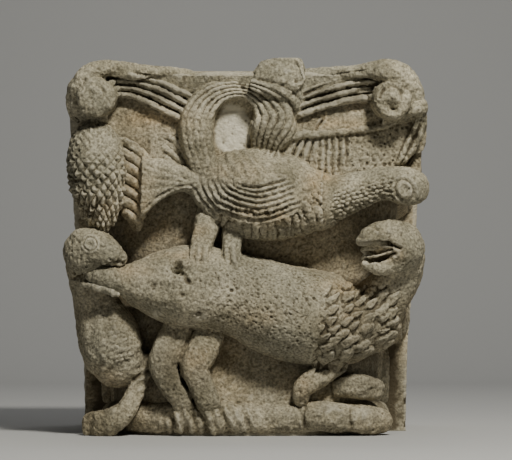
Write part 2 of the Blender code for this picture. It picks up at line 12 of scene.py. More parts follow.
import bmesh
import bpy
import numpy as np
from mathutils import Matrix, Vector


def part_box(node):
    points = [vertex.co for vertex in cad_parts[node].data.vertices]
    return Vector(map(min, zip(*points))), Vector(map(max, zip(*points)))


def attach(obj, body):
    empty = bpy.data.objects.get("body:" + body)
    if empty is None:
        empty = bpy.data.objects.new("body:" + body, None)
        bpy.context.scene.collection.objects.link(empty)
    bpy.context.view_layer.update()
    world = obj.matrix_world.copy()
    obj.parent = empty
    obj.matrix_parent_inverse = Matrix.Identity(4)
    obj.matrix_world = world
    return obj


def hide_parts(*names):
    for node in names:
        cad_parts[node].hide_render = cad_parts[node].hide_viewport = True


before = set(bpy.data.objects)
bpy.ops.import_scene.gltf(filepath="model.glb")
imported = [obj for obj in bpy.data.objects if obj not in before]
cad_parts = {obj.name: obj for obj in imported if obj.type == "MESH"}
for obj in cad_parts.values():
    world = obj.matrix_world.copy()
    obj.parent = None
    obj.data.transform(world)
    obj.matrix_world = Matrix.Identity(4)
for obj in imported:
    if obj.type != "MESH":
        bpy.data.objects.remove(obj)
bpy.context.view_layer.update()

STONE_LOW, STONE_HIGH = (np.array(corner, float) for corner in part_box("capital"))
print("the block's corners in metres:", STONE_LOW.round(4), STONE_HIGH.round(4))

# %% [markdown]
# The front was laid out as an eye sees it, in drawn millimetres: x to the right, z up, and `out` for how far a
# point stands out from the axis of the bell. Sight lines spread with distance, so what lies behind the drawn
# plane is a little larger than drawn. Laying the carving out this way keeps every edge where the picture has
# it, however deep it lies. The flanks need no such care, so their points are laid out square.

# %% The layout of the faces
DRAWN_HEIGHT = 380.0
MM = (STONE_HIGH[2] - STONE_LOW[2]) / DRAWN_HEIGHT
EYE_DISTANCE, EYE_HEIGHT, DRAWN_PLANE = 2200.0, 120.0, 150.0
PICTURE_WIDTH, PICTURE_HEIGHT = 512, 460
PICTURE_AXIS_X, PICTURE_GROUND_Y = 245, 437
BACK_FROM_AXIS = 130.0


def front(p):
    """Drawn (x, z, out) on the front, to metres: x and z grow by the spread of the sight lines."""
    x, z, out = np.moveaxis(np.asarray(p, dtype=float), -1, 0)
    spread = 1 + (DRAWN_PLANE - out) / EYE_DISTANCE
    return np.stack([x * spread, -out, EYE_HEIGHT + (z - EYE_HEIGHT) * spread], axis=-1) * MM


def left(p):
    """Laid out (u, z, out) on the left flank, to metres: u runs from front to back."""
    u, z, out = np.moveaxis(np.asarray(p, dtype=float), -1, 0)
    return np.stack([-out, u, z], axis=-1) * MM


def right(p):
    """Laid out (u, z, out) on the right flank, to metres."""
    u, z, out = np.moveaxis(np.asarray(p, dtype=float), -1, 0)
    return np.stack([out, u, z], axis=-1) * MM


def drawn(points):
    """The inverse of front: metres to drawn (x, z, out)."""
    x, y, z = np.moveaxis(points / MM, -1, 0)
    spread = 1 + (DRAWN_PLANE + y) / EYE_DISTANCE
    return np.stack([x / spread, EYE_HEIGHT + (z - EYE_HEIGHT) / spread, -y], axis=-1)


# %% [markdown]
# A limb is a rounded section carried along a path. The path is a Catmull-Rom curve through a few drawn points,
# each with its own radius, and the ends close like half balls. The section is a little squarer than a circle,
# because a carver rounds a form from flat cuts, and its hidden half can reach farther back or less far.

# %% Paths and limbs
def smooth_path(points, step):
    """Points about a step apart on the Catmull-Rom curve through the given ones, all columns alike."""
    p = np.asarray(points, dtype=float)
    p = np.vstack([2 * p[0] - p[1], p, 2 * p[-1] - p[-2]])
    stretches = []
    for a, b, c, d in zip(p, p[1:], p[2:], p[3:]):
        count = max(2, int(np.linalg.norm((c - b)[:3]) / step))
        t = np.linspace(0, 1, count, endpoint=False)[:, None]
        stretches.append(0.5 * (2 * b + (c - a) * t + (2 * a - 5 * b + 4 * c - d) * t**2
                                + (3 * b - a - 3 * c + d) * t**3))
    stretches.append(p[-2][None])
    return np.vstack(stretches)


def unit(v):
    """Vectors divided by their lengths."""
    return v / np.maximum(np.linalg.norm(v, axis=-1, keepdims=True), 1e-12)


def grid_faces(rows, columns):
    """The quads of a grid that closes on itself across its columns."""
    i, j = np.meshgrid(np.arange(rows - 1), np.arange(columns), indexing="ij")
    k = (j + 1) % columns
    corners = [i * columns + j, i * columns + k, (i + 1) * columns + k, (i + 1) * columns + j]
    return np.stack(corners, -1).reshape(-1, 4)


def squared(wave, squareness):
    """A sine or cosine bent so that the pair of them draws a superellipse."""
    return np.sign(wave) * np.abs(wave) ** (2 / squareness)


def limb(points, back=1.0, squareness=2.3, face=front):
    """Superellipse of the path's radius carried along it, its hidden half deeper by `back`, with round ends."""
    path = smooth_path(points, 2.0)
    centre, radius = path[:, :3], np.maximum(path[:, 3], 0.4)
    tangent = unit(np.gradient(centre, axis=0))
    turn = np.linspace(0, np.pi / 2, 6)[1:]
    ends = []
    for end, sign in ((0, -1), (-1, 1)):
        along = centre[end] + sign * tangent[end] * (radius[end] * np.sin(turn))[:, None]
        ends.append((along, radius[end] * np.cos(turn), np.repeat(tangent[end][None], len(turn), 0)))
    centre = np.vstack([ends[0][0][::-1], centre, ends[1][0]])
    radius = np.concatenate([ends[0][1][::-1], radius, ends[1][1]])
    tangent = np.vstack([ends[0][2][::-1], tangent, ends[1][2]])
    across = unit(np.cross(tangent, [0.0, 0.0, 1.0]))
    over = np.cross(across, tangent)
    angle = np.linspace(0, 2 * np.pi, int(np.clip(radius.max() * 2.8, 16, 90)), endpoint=False)
    aside, up = squared(np.cos(angle), squareness), squared(np.sin(angle), squareness)
    up = np.where(up < 0, up * back, up)
    ring = centre[:, None] + radius[:, None, None] * (across[:, None] * aside[:, None] + over[:, None] * up[:, None])
    return face(ring.reshape(-1, 3)), grid_faces(*ring.shape[:2])


def ball(centre, radii, face=front):
    """Ellipsoid about a drawn point with its half sizes across, up and out."""
    up, round_ = np.meshgrid(np.linspace(-np.pi / 2, np.pi / 2, 25), np.linspace(0, 2 * np.pi, 40, endpoint=False),
                             indexing="ij")
    p = np.stack([centre[0] + radii[0] * np.cos(up) * np.cos(round_), centre[1] + radii[1] * np.sin(up),
                  centre[2] + radii[2] * np.cos(up) * np.sin(round_)], -1)
    return face(p.reshape(-1, 3)), grid_faces(*up.shape)


def resample(line, count):
    """The same line with a given count of evenly spaced points."""
    length = np.concatenate([[0], np.cumsum(np.linalg.norm(np.diff(line, axis=0), axis=1))])
    at = np.linspace(0, length[-1], count)
    return np.stack([np.interp(at, length, line[:, k]) for k in range(line.shape[1])], -1)


def slab(upper, lower, out, thickness, squareness=5.0):
    """A plate between two drawn edges: a squared-off oval carried from left to right."""
    count, sides = 70, 64
    upper, lower = (resample(smooth_path(edge, 2.0), count) for edge in (upper, lower))
    angle = np.linspace(0, 2 * np.pi, sides, endpoint=False)
    height, depth = squared(np.sin(angle), squareness), squared(np.cos(angle), squareness)
    rings = np.empty((count, sides, 3))
    rings[..., :2] = (upper + lower)[:, None] / 2 + (upper - lower)[:, None] / 2 * height[:, None]
    rings[..., 2] = out - thickness / 2 + depth * thickness / 2
    ends = [np.repeat(rings[e].mean(0)[None, None], sides, 1) for e in (0, -1)]
    rings = np.vstack([ends[0], rings, ends[1]])
    return front(rings.reshape(-1, 3)), grid_faces(*rings.shape[:2])


def between(first, second, share):
    """The line a share of the way from one drawn line to another with as many points."""
    return np.asarray(first, float) * (1 - share) + np.asarray(second, float) * share


# %% [markdown]
# Stone is never even. Value noise makes the soft hollows of weather, and a scatter of round pits makes the pecked
# and pitted parts. Both are functions of the place in the block, so two figures that meet share one pattern.

# %% Patterns of stone
def scramble(i, j, k, seed):
    """A repeatable number from 0 to 1 for each cell of a lattice."""
    n = (i.astype(np.int64) * 73856093) ^ (j.astype(np.int64) * 19349663) ^ (k.astype(np.int64) * 83492791)
    n = (n ^ (seed * 2654435761)) & 0xFFFFFFFF
    n = ((n >> 16) ^ n) * 0x45D9F3B & 0xFFFFFFFF
    n = ((n >> 16) ^ n) * 0x45D9F3B & 0xFFFFFFFF
    return ((n >> 16) ^ n & 0xFFFF).astype(float) % 65536 / 65536


def noise(points, size, seed=1, octaves=1):
    """Value noise from -1 to 1: random numbers on a lattice of `size` millimetres, blended smoothly between."""
    total, weight, sum_of_weights = 0.0, 1.0, 0.0
    for octave in range(octaves):
        p = points / MM / (size / 2**octave)
        cell = np.floor(p)
        f = p - cell
        f = f * f * (3 - 2 * f)
        value = 0.0
        for di in (0, 1):
            for dj in (0, 1):
                for dk in (0, 1):
                    corner = scramble(cell[:, 0] + di, cell[:, 1] + dj, cell[:, 2] + dk, seed + octave)
                    value = value + corner * (np.abs(1 - di - f[:, 0]) * np.abs(1 - dj - f[:, 1])
                                              * np.abs(1 - dk - f[:, 2]))
        total = total + weight * (value * 2 - 1)
        sum_of_weights += weight
        weight *= 0.6
    return total / sum_of_weights


def pits(points, size, seed=1, share=1.0, radius=0.45):
    """From 0 to 1 inside round pits: one to a lattice cell, off its middle, in a share of the cells."""
    p = points / MM / size
    cell = np.floor(p)
    deepest = np.zeros(len(p))
    for di in (-1, 0, 1):
        for dj in (-1, 0, 1):
            for dk in (-1, 0, 1):
                c = cell + [di, dj, dk]
                centre = np.stack([scramble(*c.T, seed + n) for n in range(3)], -1) * 0.8 + 0.1 + c
                chosen = scramble(*c.T, seed + 3) < share
                wide = radius * (0.6 + 0.8 * scramble(*c.T, seed + 4))
                near = np.maximum(0, 1 - np.linalg.norm(p - centre, axis=1) / wide)
                deepest = np.maximum(deepest, np.where(chosen, near, 0))
    return deepest * deepest * (3 - 2 * deepest)


def weather(points, rough=1.0):
    """What time has done everywhere: dents, soft waves, a rough grain, small pits and a few larger holes."""
    waves = 1.1 * noise(points, 34, seed=11) + 0.8 * noise(points, 13, seed=13, octaves=2)
    grain = 0.95 * noise(points, 5.5, seed=17, octaves=2) + 0.35 * noise(points, 2.7, seed=21)
    small = -1.2 * pits(points, 5.0, seed=23, share=0.5, radius=0.5)
    holes = -2.2 * pits(points, 19, seed=31, share=0.25, radius=0.17)
    return rough * (waves + grain + small + holes)


def step_up(value, low, high):
    """Smoothly from 0 below low to 1 above high."""
    t = np.clip((value - low) / (high - low), 0, 1)
    return t * t * (3 - 2 * t)


def spot(x, z, place, size):
    """A soft round spot: 1 at a drawn place, falling away over its half sizes."""
    return np.exp(-((x - place[0]) / size[0]) ** 2 - ((z - place[1]) / size[1]) ** 2)


def near_line(x, z, line):
    """Distance from drawn points to a line of drawn points, and how far along it as a share of its length."""
    line = np.asarray(line, float)
    lengths = np.linalg.norm(np.diff(line, axis=0), axis=1)
    starts = np.concatenate([[0], np.cumsum(lengths)])
    best, at = np.full(x.shape, 1e9), np.zeros(x.shape)
    for a, b, length, start in zip(line, line[1:], lengths, starts):
        t = np.clip(((x - a[0]) * (b[0] - a[0]) + (z - a[1]) * (b[1] - a[1])) / length**2, 0, 1)
        d = np.hypot(x - a[0] - t * (b[0] - a[0]), z - a[1] - t * (b[1] - a[1]))
        at = np.where(d < best, (start + t * length) / starts[-1], at)
        best = np.minimum(best, d)
    return best, at


def ridges(x, z, lines, radius, height, taper=0.5):
    """Rounded ridges along drawn lines, half ellipses across, lower at their ends."""
    raised = np.zeros(x.shape)
    for line in lines:
        d, at = near_line(x, z, smooth_path(line, 5.0))
        full = np.minimum(1, 6 * at * (1 - at) + 1 - taper)
        raised = np.maximum(raised, np.sqrt(np.maximum(0, 1 - (d / radius) ** 2)) * full)
    return height * raised


def cuts(x, z, lines, width, depth, taper=0.7):
    """V-shaped cuts along drawn lines, shallower at their ends."""
    cut = np.zeros(x.shape)
    for line in lines:
        d, at = near_line(x, z, smooth_path(line, 5.0))
        cut = np.maximum(cut, np.maximum(0, 1 - d / width) * np.minimum(1, 6 * at * (1 - at) + 1 - taper))
    return -depth * cut


def locks(along, across, length, width, jitter=0.5, seed=41):
    """Leaf shapes on a brick lattice: a half ellipsoid over each leaf, highest near its tip, none alike."""
    u, v = along / length, across / width
    height = np.zeros_like(u)
    for dv in (-1, 0, 1):
        row = np.floor(v) + dv
        for du in (-1, 0, 1):
            column = np.floor(u + 0.5 * (row % 2)) + du
            shift = (scramble(column, row, row * 0, seed) - 0.5) * jitter
            lift = (scramble(column, row, row * 0, seed + 1) - 0.5) * jitter
            size = 1 + (scramble(column, row, row * 0, seed + 2) - 0.5) * jitter * 0.6
            a = (u + 0.5 * (row % 2) - column - 0.5 - shift) * 2 / size
            b = (v - row - 0.5 - lift * 0.5) * 2 * (1 + 0.3 * a) / size
            leaf = np.maximum(0, 1 - (a / 1.05) ** 2 - (b / 0.92) ** 2)
            height = np.maximum(height, leaf**0.36 * (0.8 + 0.22 * a + 0.4 * lift))
    return height


# %% [markdown]
# The block is a bell that is round at the foot and square at the top, grown into the plain block that was bonded
# into the wall. Both are star-shaped around the axis, so the outline at each height is the farther of two
# distances from it. One grid of angle and height gives the whole skin, with close columns on the carved front
# and wide ones on the plain back.

# %% The block's outline
# Half width, half depth, exponent of the superellipse and height, from the foot up.
BELL = np.array([(143, 124, 2.7, 0), (144, 120, 2.8, 40), (147, 111, 2.9, 80), (152, 107, 3.1, 140),
                 (160, 109, 3.5, 210), (166, 112, 4.0, 280), (170, 122, 4.8, 325), (173, 138, 5.6, 348),
                 (173.5, 143, 6.0, 364), (173.5, 138, 6.0, 368), (173, 60, 6.0, 373), (173, 30, 6.0, 380)], float)
# Half width and height of the wall block.
WALL_BLOCK = np.array([(169, 0), (171, 90), (180, 200), (185, 300), (188, 385)], float)
BLOCK_BEFORE_AXIS = 24.0
TOP = DRAWN_HEIGHT


def reach(angle, half_width, half_depth, exponent):
    """Distance from the axis to a superellipse in the direction of an angle."""
    c, s = np.abs(np.cos(angle)), np.abs(np.sin(angle))
    return ((c / half_width) ** exponent + (s / half_depth) ** exponent) ** (-1 / exponent)


def outline_at(z, angle):
    """The block's distance from the axis at a height and an angle, 0 to the right and -90 degrees to the front."""
    bell = [np.interp(z, BELL[:, 3], BELL[:, k]) for k in range(3)]
    half_width = np.interp(z, WALL_BLOCK[:, 1], WALL_BLOCK[:, 0])
    fore = np.where(np.sin(angle) < 0, BLOCK_BEFORE_AXIS, BACK_FROM_AXIS)
    block = 1 / np.maximum(np.abs(np.cos(angle)) / half_width, np.abs(np.sin(angle)) / fore)
    back = np.where(np.sin(angle) > 0, BACK_FROM_AXIS / np.maximum(np.sin(angle), 1e-9), 1e9)
    return np.minimum(np.maximum(reach(angle, *bell), block), back)


# %% [markdown]
# A figure is several limbs and plates that grow into one another. They are put into one mesh, and a voxel
# remesh fuses them into one closed skin of even, small faces. A Boolean union would do it too, but it keeps the
# long faces of the limbs, and the carving that follows needs vertices everywhere. A light smoothing rounds the
# creases, as a rasp and the weather do. What lies inside the block is never seen, so its faces are collapsed
# and all the small faces are left for the carved side.

# %% Meshes
def raw_mesh(name, shapes):
    """One mesh from (vertices, quads) pairs, its poles and seams merged and its faces turned out."""
    starts = np.cumsum([0] + [len(v) for v, _ in shapes])
    vertices = np.concatenate([v for v, _ in shapes])
    quads = np.concatenate([q + start for (_, q), start in zip(shapes, starts)])
    mesh = bpy.data.meshes.new(name)
    mesh.vertices.add(len(vertices))
    mesh.vertices.foreach_set("co", vertices.astype(np.float32).ravel())
    mesh.loops.add(quads.size)
    mesh.loops.foreach_set("vertex_index", quads.astype(np.int32).ravel())
    mesh.polygons.add(len(quads))
    mesh.polygons.foreach_set("loop_start", np.arange(0, quads.size, 4, dtype=np.int32))
    mesh.update(calc_edges=True)
    merged = bmesh.new()
    merged.from_mesh(mesh)
    bmesh.ops.remove_doubles(merged, verts=merged.verts, dist=1e-6)
    bmesh.ops.recalc_face_normals(merged, faces=merged.faces)
    merged.to_mesh(mesh)
    merged.free()
    return mesh


def placed(name, mesh):
    """An object at the origin that holds the mesh, light or camera."""
    obj = bpy.data.objects.new(name, mesh)
    bpy.context.scene.collection.objects.link(obj)
    return obj


def positions(mesh):
    """Vertex places and normals as two arrays."""
    co, normal = np.empty(len(mesh.vertices) * 3), np.empty(len(mesh.vertices) * 3)
    mesh.vertices.foreach_get("co", co)
    mesh.vertices.foreach_get("normal", normal)
    return co.reshape(-1, 3), normal.reshape(-1, 3)


def settle(obj):
    """Gives the object the mesh that its modifiers make of it."""
    bpy.context.view_layer.update()
    mesh = bpy.data.meshes.new_from_object(obj.evaluated_get(bpy.context.evaluated_depsgraph_get()))
    obj.modifiers.clear()
    obj.data = mesh


def triangles(mesh):
    """A face of n corners makes n - 2 triangles."""
    return len(mesh.loops) - 2 * len(mesh.polygons)


BURIED = 6.0  # millimetres below the block's skin
KEPT_OF_BURIED = 0.08  # share of the buried faces that stays


def fused(name, shapes, cell, rounding=2):
    """The shapes as one skin: a voxel remesh with cells of `cell` drawn millimetres, smoothed, light inside."""
    obj = placed(name, raw_mesh(name, shapes))
    remesh = obj.modifiers.new("fuse", "REMESH")
    remesh.mode = "VOXEL"
    remesh.voxel_size = cell * MM
    soften = obj.modifiers.new("rasp", "SMOOTH")
    soften.factor, soften.iterations = 0.5, rounding
    settle(obj)
    x, y, z = (positions(obj.data)[0] / MM).T
    buried = np.hypot(x, y) < outline_at(z, np.arctan2(y, x)) - BURIED
    obj.vertex_groups.new(name="buried").add(np.flatnonzero(buried).tolist(), 1.0, "REPLACE")
    lighten = obj.modifiers.new("lighten", "DECIMATE")
    lighten.vertex_group = "buried"
    lighten.ratio = 1 - buried.mean() * (1 - KEPT_OF_BURIED)
    settle(obj)
    obj.vertex_groups.clear()
    print(f"{name}: {triangles(obj.data)} triangles, {buried.mean():.0%} was buried")
    return obj


def carve(obj, carving, rough=1.0):
    """Raises each vertex along its normal by what the carving gives for its place, then lets it weather.

    A carving takes the vertices in metres, their drawn x, z and out, and the share from 0 to 1 by which each one
    faces the front, and returns millimetres.
    """
    co, normal = positions(obj.data)
    x, z, out = drawn(co).T
    facing = step_up(-normal[:, 1], -0.1, 0.3)
    co += normal * (carving(co, x, z, out, facing) * MM)[:, None]
    obj.data.vertices.foreach_set("co", co.ravel())
    obj.data.update()
    co, normal = positions(obj.data)
    co += normal * (weather(co, rough) * MM)[:, None]
    obj.data.vertices.foreach_set("co", co.ravel())
    obj.data.update()


# %% [markdown]
# The block's skin is one grid of rings, so it needs no remesh. Tool strokes slant over its flanks and back, the
# upper arris of the front is worn, and the two upper corners are chipped. The beds stay flat.

# %% The block
def block_angles():
    """Angles round the block, one to each 2.2 mm of the front, 3.6 mm of the flanks and 8 mm of the back."""
    fine = np.linspace(-np.pi, np.pi, 20001)
    r = outline_at(np.array(200.0), fine)
    x, y = r * np.cos(fine), r * np.sin(fine)
    pace = np.where(y < -60, 2.2, np.where(y < BACK_FROM_AXIS - 2, 3.6, 8.0))
    travelled = np.concatenate([[0], np.cumsum(np.hypot(np.diff(x), np.diff(y)) / pace[1:])])
    return np.interp(np.linspace(0, travelled[-1], int(travelled[-1]), endpoint=False), travelled, fine)


def block_shape():
    """Rings of the outline from the underside to the top bed, with flat, evenly divided beds."""
    angle = block_angles()
    heights = np.concatenate([[0.0], np.linspace(1.2, 362, 165), np.linspace(364, TOP, 12)])
    rings = []
    for z in heights:
        r = outline_at(np.array(z), angle)
        rings.append(np.stack([r * np.cos(angle), r * np.sin(angle), np.full_like(r, z)], -1))
    bottom = [rings[0] * [s, s, 1] for s in np.linspace(0, 1, 9)[:-1]]
    top = [rings[-1] * [s, s, 1] for s in np.linspace(1, 0, 9)[1:]]
    rings = np.array(bottom + rings + top)
    return rings.reshape(-1, 3) * MM, grid_faces(*rings.shape[:2])


block = placed("block", raw_mesh("block", [block_shape()]))
co, normal = positions(block.data)
x, y, z = (co / MM).T
standing = 1 - step_up(np.abs(normal[:, 2]), 0.6, 0.9)
off_the_beds = step_up(z, 0.3, 4) * (1 - step_up(z, TOP - 1.5, TOP - 0.3) * step_up(normal[:, 2], 0.3, 0.8))
strokes = (np.sin((z * 0.9 + x * 0.35 + y * 0.35 + 3 * noise(co, 30, seed=5)) / 2.1)
           * (0.5 + 0.5 * noise(co, 22, seed=6)))
worn_edge = (-3.0 * step_up(z, 352, 366) * step_up(-y, 90, 120)
             * np.maximum(0, noise(co, 26, seed=8, octaves=2) + 0.25))
amount = off_the_beds * (0.75 * weather(co) + 0.4 * standing * step_up(y, -80, 20) * strokes + worn_edge)
co += normal * (amount * MM)[:, None]
chipped = 0.07 * step_up(z, 350, 376) * step_up(np.abs(x), 150, 182) * (1 + 0.3 * noise(co, 20, seed=9))
co[:, 0] *= 1 - chipped
block.data.vertices.foreach_set("co", co.ravel())
block.data.update()
print("block:", triangles(block.data), "triangles")

# %% [markdown]
# The lower bird fills the width of the front. Its body is pecked all over with short pits, its breast carries
# leaf-shaped locks of feathers in slanting rows, and its neck climbs the right corner to an open beak.

# %% Lower bird
lower_bird = fused("lower_bird", [
    limb([(-153, 162, 145, 7), (-140, 160, 148, 11), (-122, 157, 143, 15), (-100, 153, 134, 28), (-74, 151, 128, 39),
          (-44, 149, 125, 42), (-6, 142, 122, 41), (36, 126, 119, 47), (70, 119, 116, 48), (96, 114, 112, 44),
          (124, 117, 106, 33)], back=0.5, squareness=2.2),
    limb([(116, 118, 102, 32), (136, 136, 106, 27), (152, 158, 110, 23), (157, 178, 118, 22)], back=0.6),
    ball((155, 190, 135), (24, 25.5, 24)),
    limb([(160, 199, 138, 15), (145, 203, 145, 14.5), (130, 201.5, 148, 11.5), (120, 198, 149, 8),
          (115, 195.5, 148, 4)]),
    limb([(160, 180, 138, 13), (146, 173, 144, 9.5), (132, 170, 146, 7.5), (121, 172.5, 146, 4)]),
    limb([(118, 187, 142, 3.2), (132, 188.5, 145, 4.4), (147, 190, 144, 4)]),
    limb([(119, 179, 142, 3.2), (134, 181.5, 147, 4.8), (150, 188, 146, 3.8)]),
    limb([(-67, 108, 120, 15), (-77, 88, 126, 15.5), (-82, 71, 129, 14.5), (-75, 53, 131, 12), (-65, 38, 129, 10.5),
          (-60, 26, 122, 10)], back=1.3, squareness=3.4),
    limb([(-37, 99, 124, 14.5), (-44, 84, 131, 15.5), (-50, 70, 133, 15), (-45, 54, 133, 12.5), (-38, 38, 131, 11.5),
          (-33, 26, 122, 10)], back=1.4, squareness=3.4),
    limb([(92, 72, 112, 10), (80, 64, 120, 10.5), (66, 56, 127, 11.5), (57, 48, 128, 10), (56, 38, 124, 8)], back=1.3,
         squareness=3.4),
], 1.22)


def lower_bird_carving(points, x, z, out, facing):
    """Leaf-shaped locks in slanting rows on the breast, short pits on the body, and the hole, dents and beak."""
    breast = (step_up(x - 78 - 0.22 * (z - 116) + 5 * noise(points, 12, seed=7), -5, 4)
              * (1 - step_up(z - (153 - 0.05 * (x - 90)), -4, 5)) * (1 - step_up(x, 150, 160)) * step_up(z, 62, 70))
    bend = 4.0 * noise(points, 24, seed=43) + 1.2 * noise(points, 9, seed=44)
    lean = math.radians(36)
    along = math.cos(lean) * x + math.sin(lean) * z + bend
    across = -math.sin(lean) * x + math.cos(lean) * z + bend
    feathers = breast * (locks(along, across, 15.0, 9.6, jitter=0.7) * 6.0 - 3.8)
    midribs = breast * -0.6 * np.maximum(0, 1 - np.abs((across / 9.6) % 1 - 0.5) * 6)
    body = ((1 - breast) * step_up(x, -90, 0) * step_up(z, 72, 92) * (1 - step_up(x, 100, 118))
            * (1 - step_up(z, 176, 184)))
    stretched = points * [1, 1, 1.5] + [0, 0, 0.5] * points[:, :1]
    pecked = body * (-1.5 * pits(stretched, 3.9, seed=51, share=0.75, radius=0.5)
                     - 0.5 * np.abs(noise(points, 2.8, seed=53)))
    torn = noise(points, 5, seed=55, octaves=2)
    hole = -15 * spot(x + 2 * torn, z + 2 * torn, (-70, 171), (4.2, 4.4)) \
        - (5 + 3 * torn) * spot(x, z, (-66, 166), (9, 7)) - (1.6 + 2 * torn) * spot(x, z, (-72, 150), (16, 12))
    dents = -2.6 * spot(x, z, (-79, 147), (7, 8)) - 4.5 * spot(x, z, (-46, 122.5), (2.4, 1.8)) \
        - 2.2 * spot(x, z, (-61, 142), (5, 3)) - 3.0 * spot(x, z, (-92, 152), (3, 3))
    crack = cuts(x, z, [[(-67, 169), (-61, 164), (-59, 158), (-54, 153)]], 2.6, 3.0)
    scratches = cuts(x, z, [[(-34, 174), (-27, 160), (-25, 147)], [(-22, 174), (-17, 160), (-16, 146)],
                            [(-10, 170), (-6, 158)]], 1.6, 0.9)
    mouth = cuts(x, z, [[(113, 192.5), (128, 193.5), (143, 193), (155, 189)],
                        [(117, 183), (130, 184.5), (146, 187.5)],
                        [(118, 176.5), (132, 177), (150, 183)]], 3.0, 10.0, taper=0.2)
    brow = cuts(x, z, [[(123, 211), (137, 206), (149, 199)]], 3.0, 1.2)
    return facing * (feathers + midribs + pecked + hole + dents + crack + scratches + mouth + brow)


carve(lower_bird, lower_bird_carving)

# %% [markdown]
# The upper bird stands on the lower one's back. A second neck starts in its back, arches over a small niche and
# comes down again. Its ridges run on into the wing, whose feathers are concentric grooves. Bird, arch and niche
# are one mesh, so that the ridges meet without a joint. Each groove is a share of the way between two edges.

# %% Upper bird and looped neck
ARCH_OUTER = [(-36, 236), (-47, 250), (-55, 267), (-61, 285), (-66, 305), (-65, 322), (-56, 339), (-40, 351.5),
              (-18, 357), (5, 355), (27, 347), (44, 335), (50.5, 321), (46, 307), (36, 294), (26, 276)]
ARCH_INNER = [(-16, 252), (-22, 262), (-27, 272), (-31, 285), (-33, 300), (-32, 314), (-28, 327), (-20, 336),
              (-10, 340), (0, 339), (7, 331), (8, 321), (7, 311), (6, 299), (6, 286), (8, 270)]
arch_middle = between(ARCH_OUTER, ARCH_INNER, 0.5)
arch_half = np.linalg.norm(np.subtract(ARCH_OUTER, ARCH_INNER), axis=1) / 2
arch_crown = np.interp(np.arange(len(arch_half)), [0, 2, 4, 9, 12, 15], [122, 131, 134, 134, 130, 118])
HEAD_TOP = [(7, 360), (12, 370.5), (19, 377.5), (37, 381), (52, 381), (58, 374), (60, 362)]
HEAD_FOOT = [(4, 350), (12, 344), (22, 340), (34, 337), (46, 340), (55, 348), (61, 358)]
upper_bird = fused("upper_bird", [
    limb([(-54, 250, 134, 8), (-44, 249, 131, 20), (-30, 248, 127, 32), (-12, 247, 124, 42), (17, 243, 123, 46.5),
          (42, 240, 124, 43.5), (62, 237, 127, 36), (72, 236, 128, 30)], back=0.5, squareness=2.2),
    limb([(x, z, out, half + 0.5) for (x, z), out, half in zip(arch_middle, arch_crown, arch_half)], back=1.2,
         squareness=3.2),
    limb([(74, 236, 128, 25), (92, 240, 132, 22), (110, 246, 134, 19.5), (127, 251, 136, 17.5), (142, 254, 137, 17.5),
          (158, 252, 136, 19.5), (167, 250.5, 131, 18), (171, 250, 124, 14)], back=1.2),
    slab([(-103, 282), (-97, 280), (-78, 278), (-59, 270), (-45, 262), (-36, 258)],
         [(-105, 220), (-103, 220), (-88, 234.5), (-70, 244), (-45, 247), (-36, 246)], 146, 44),
    slab([(-36, 338), (-12, 343), (12, 338)], [(-36, 276), (-12, 274), (14, 276)], 125, 26),
    slab(HEAD_TOP, HEAD_FOOT, 155, 50, squareness=5),
    limb([(20, 362, 138, 12), (34, 357, 141, 15), (45, 344, 138, 14), (47, 328, 131, 12)], back=1.5),
    limb([(-35, 230, 112, 12), (-38, 214, 128, 13), (-41, 202, 137, 11.5), (-44, 190, 142, 10.5),
          (-46, 176, 148, 11.5), (-48, 163, 148, 9)], back=1.6, squareness=3.0),
    limb([(-13, 218, 110, 10), (-13, 204, 131, 10), (-13, 192, 139, 9), (-14, 180, 143, 10), (-15, 170, 146, 9),
          (-16, 160, 146, 7)], back=1.6, squareness=3.0),
], 1.15)
WING_OUTER = [(-46, 262), (-39, 240), (-20, 224), (6, 216.5), (30, 219), (57, 230)]
WING_INNER = [(-10, 252), (-2, 250), (9, 249.5), (20, 251.5), (33, 254.5), (46, 259)]
WING_GROOVES, ARCH_RIDGES = 7, 5
wing_lines = [between(WING_OUTER, WING_INNER, k / (WING_GROOVES - 1)) for k in range(WING_GROOVES)]


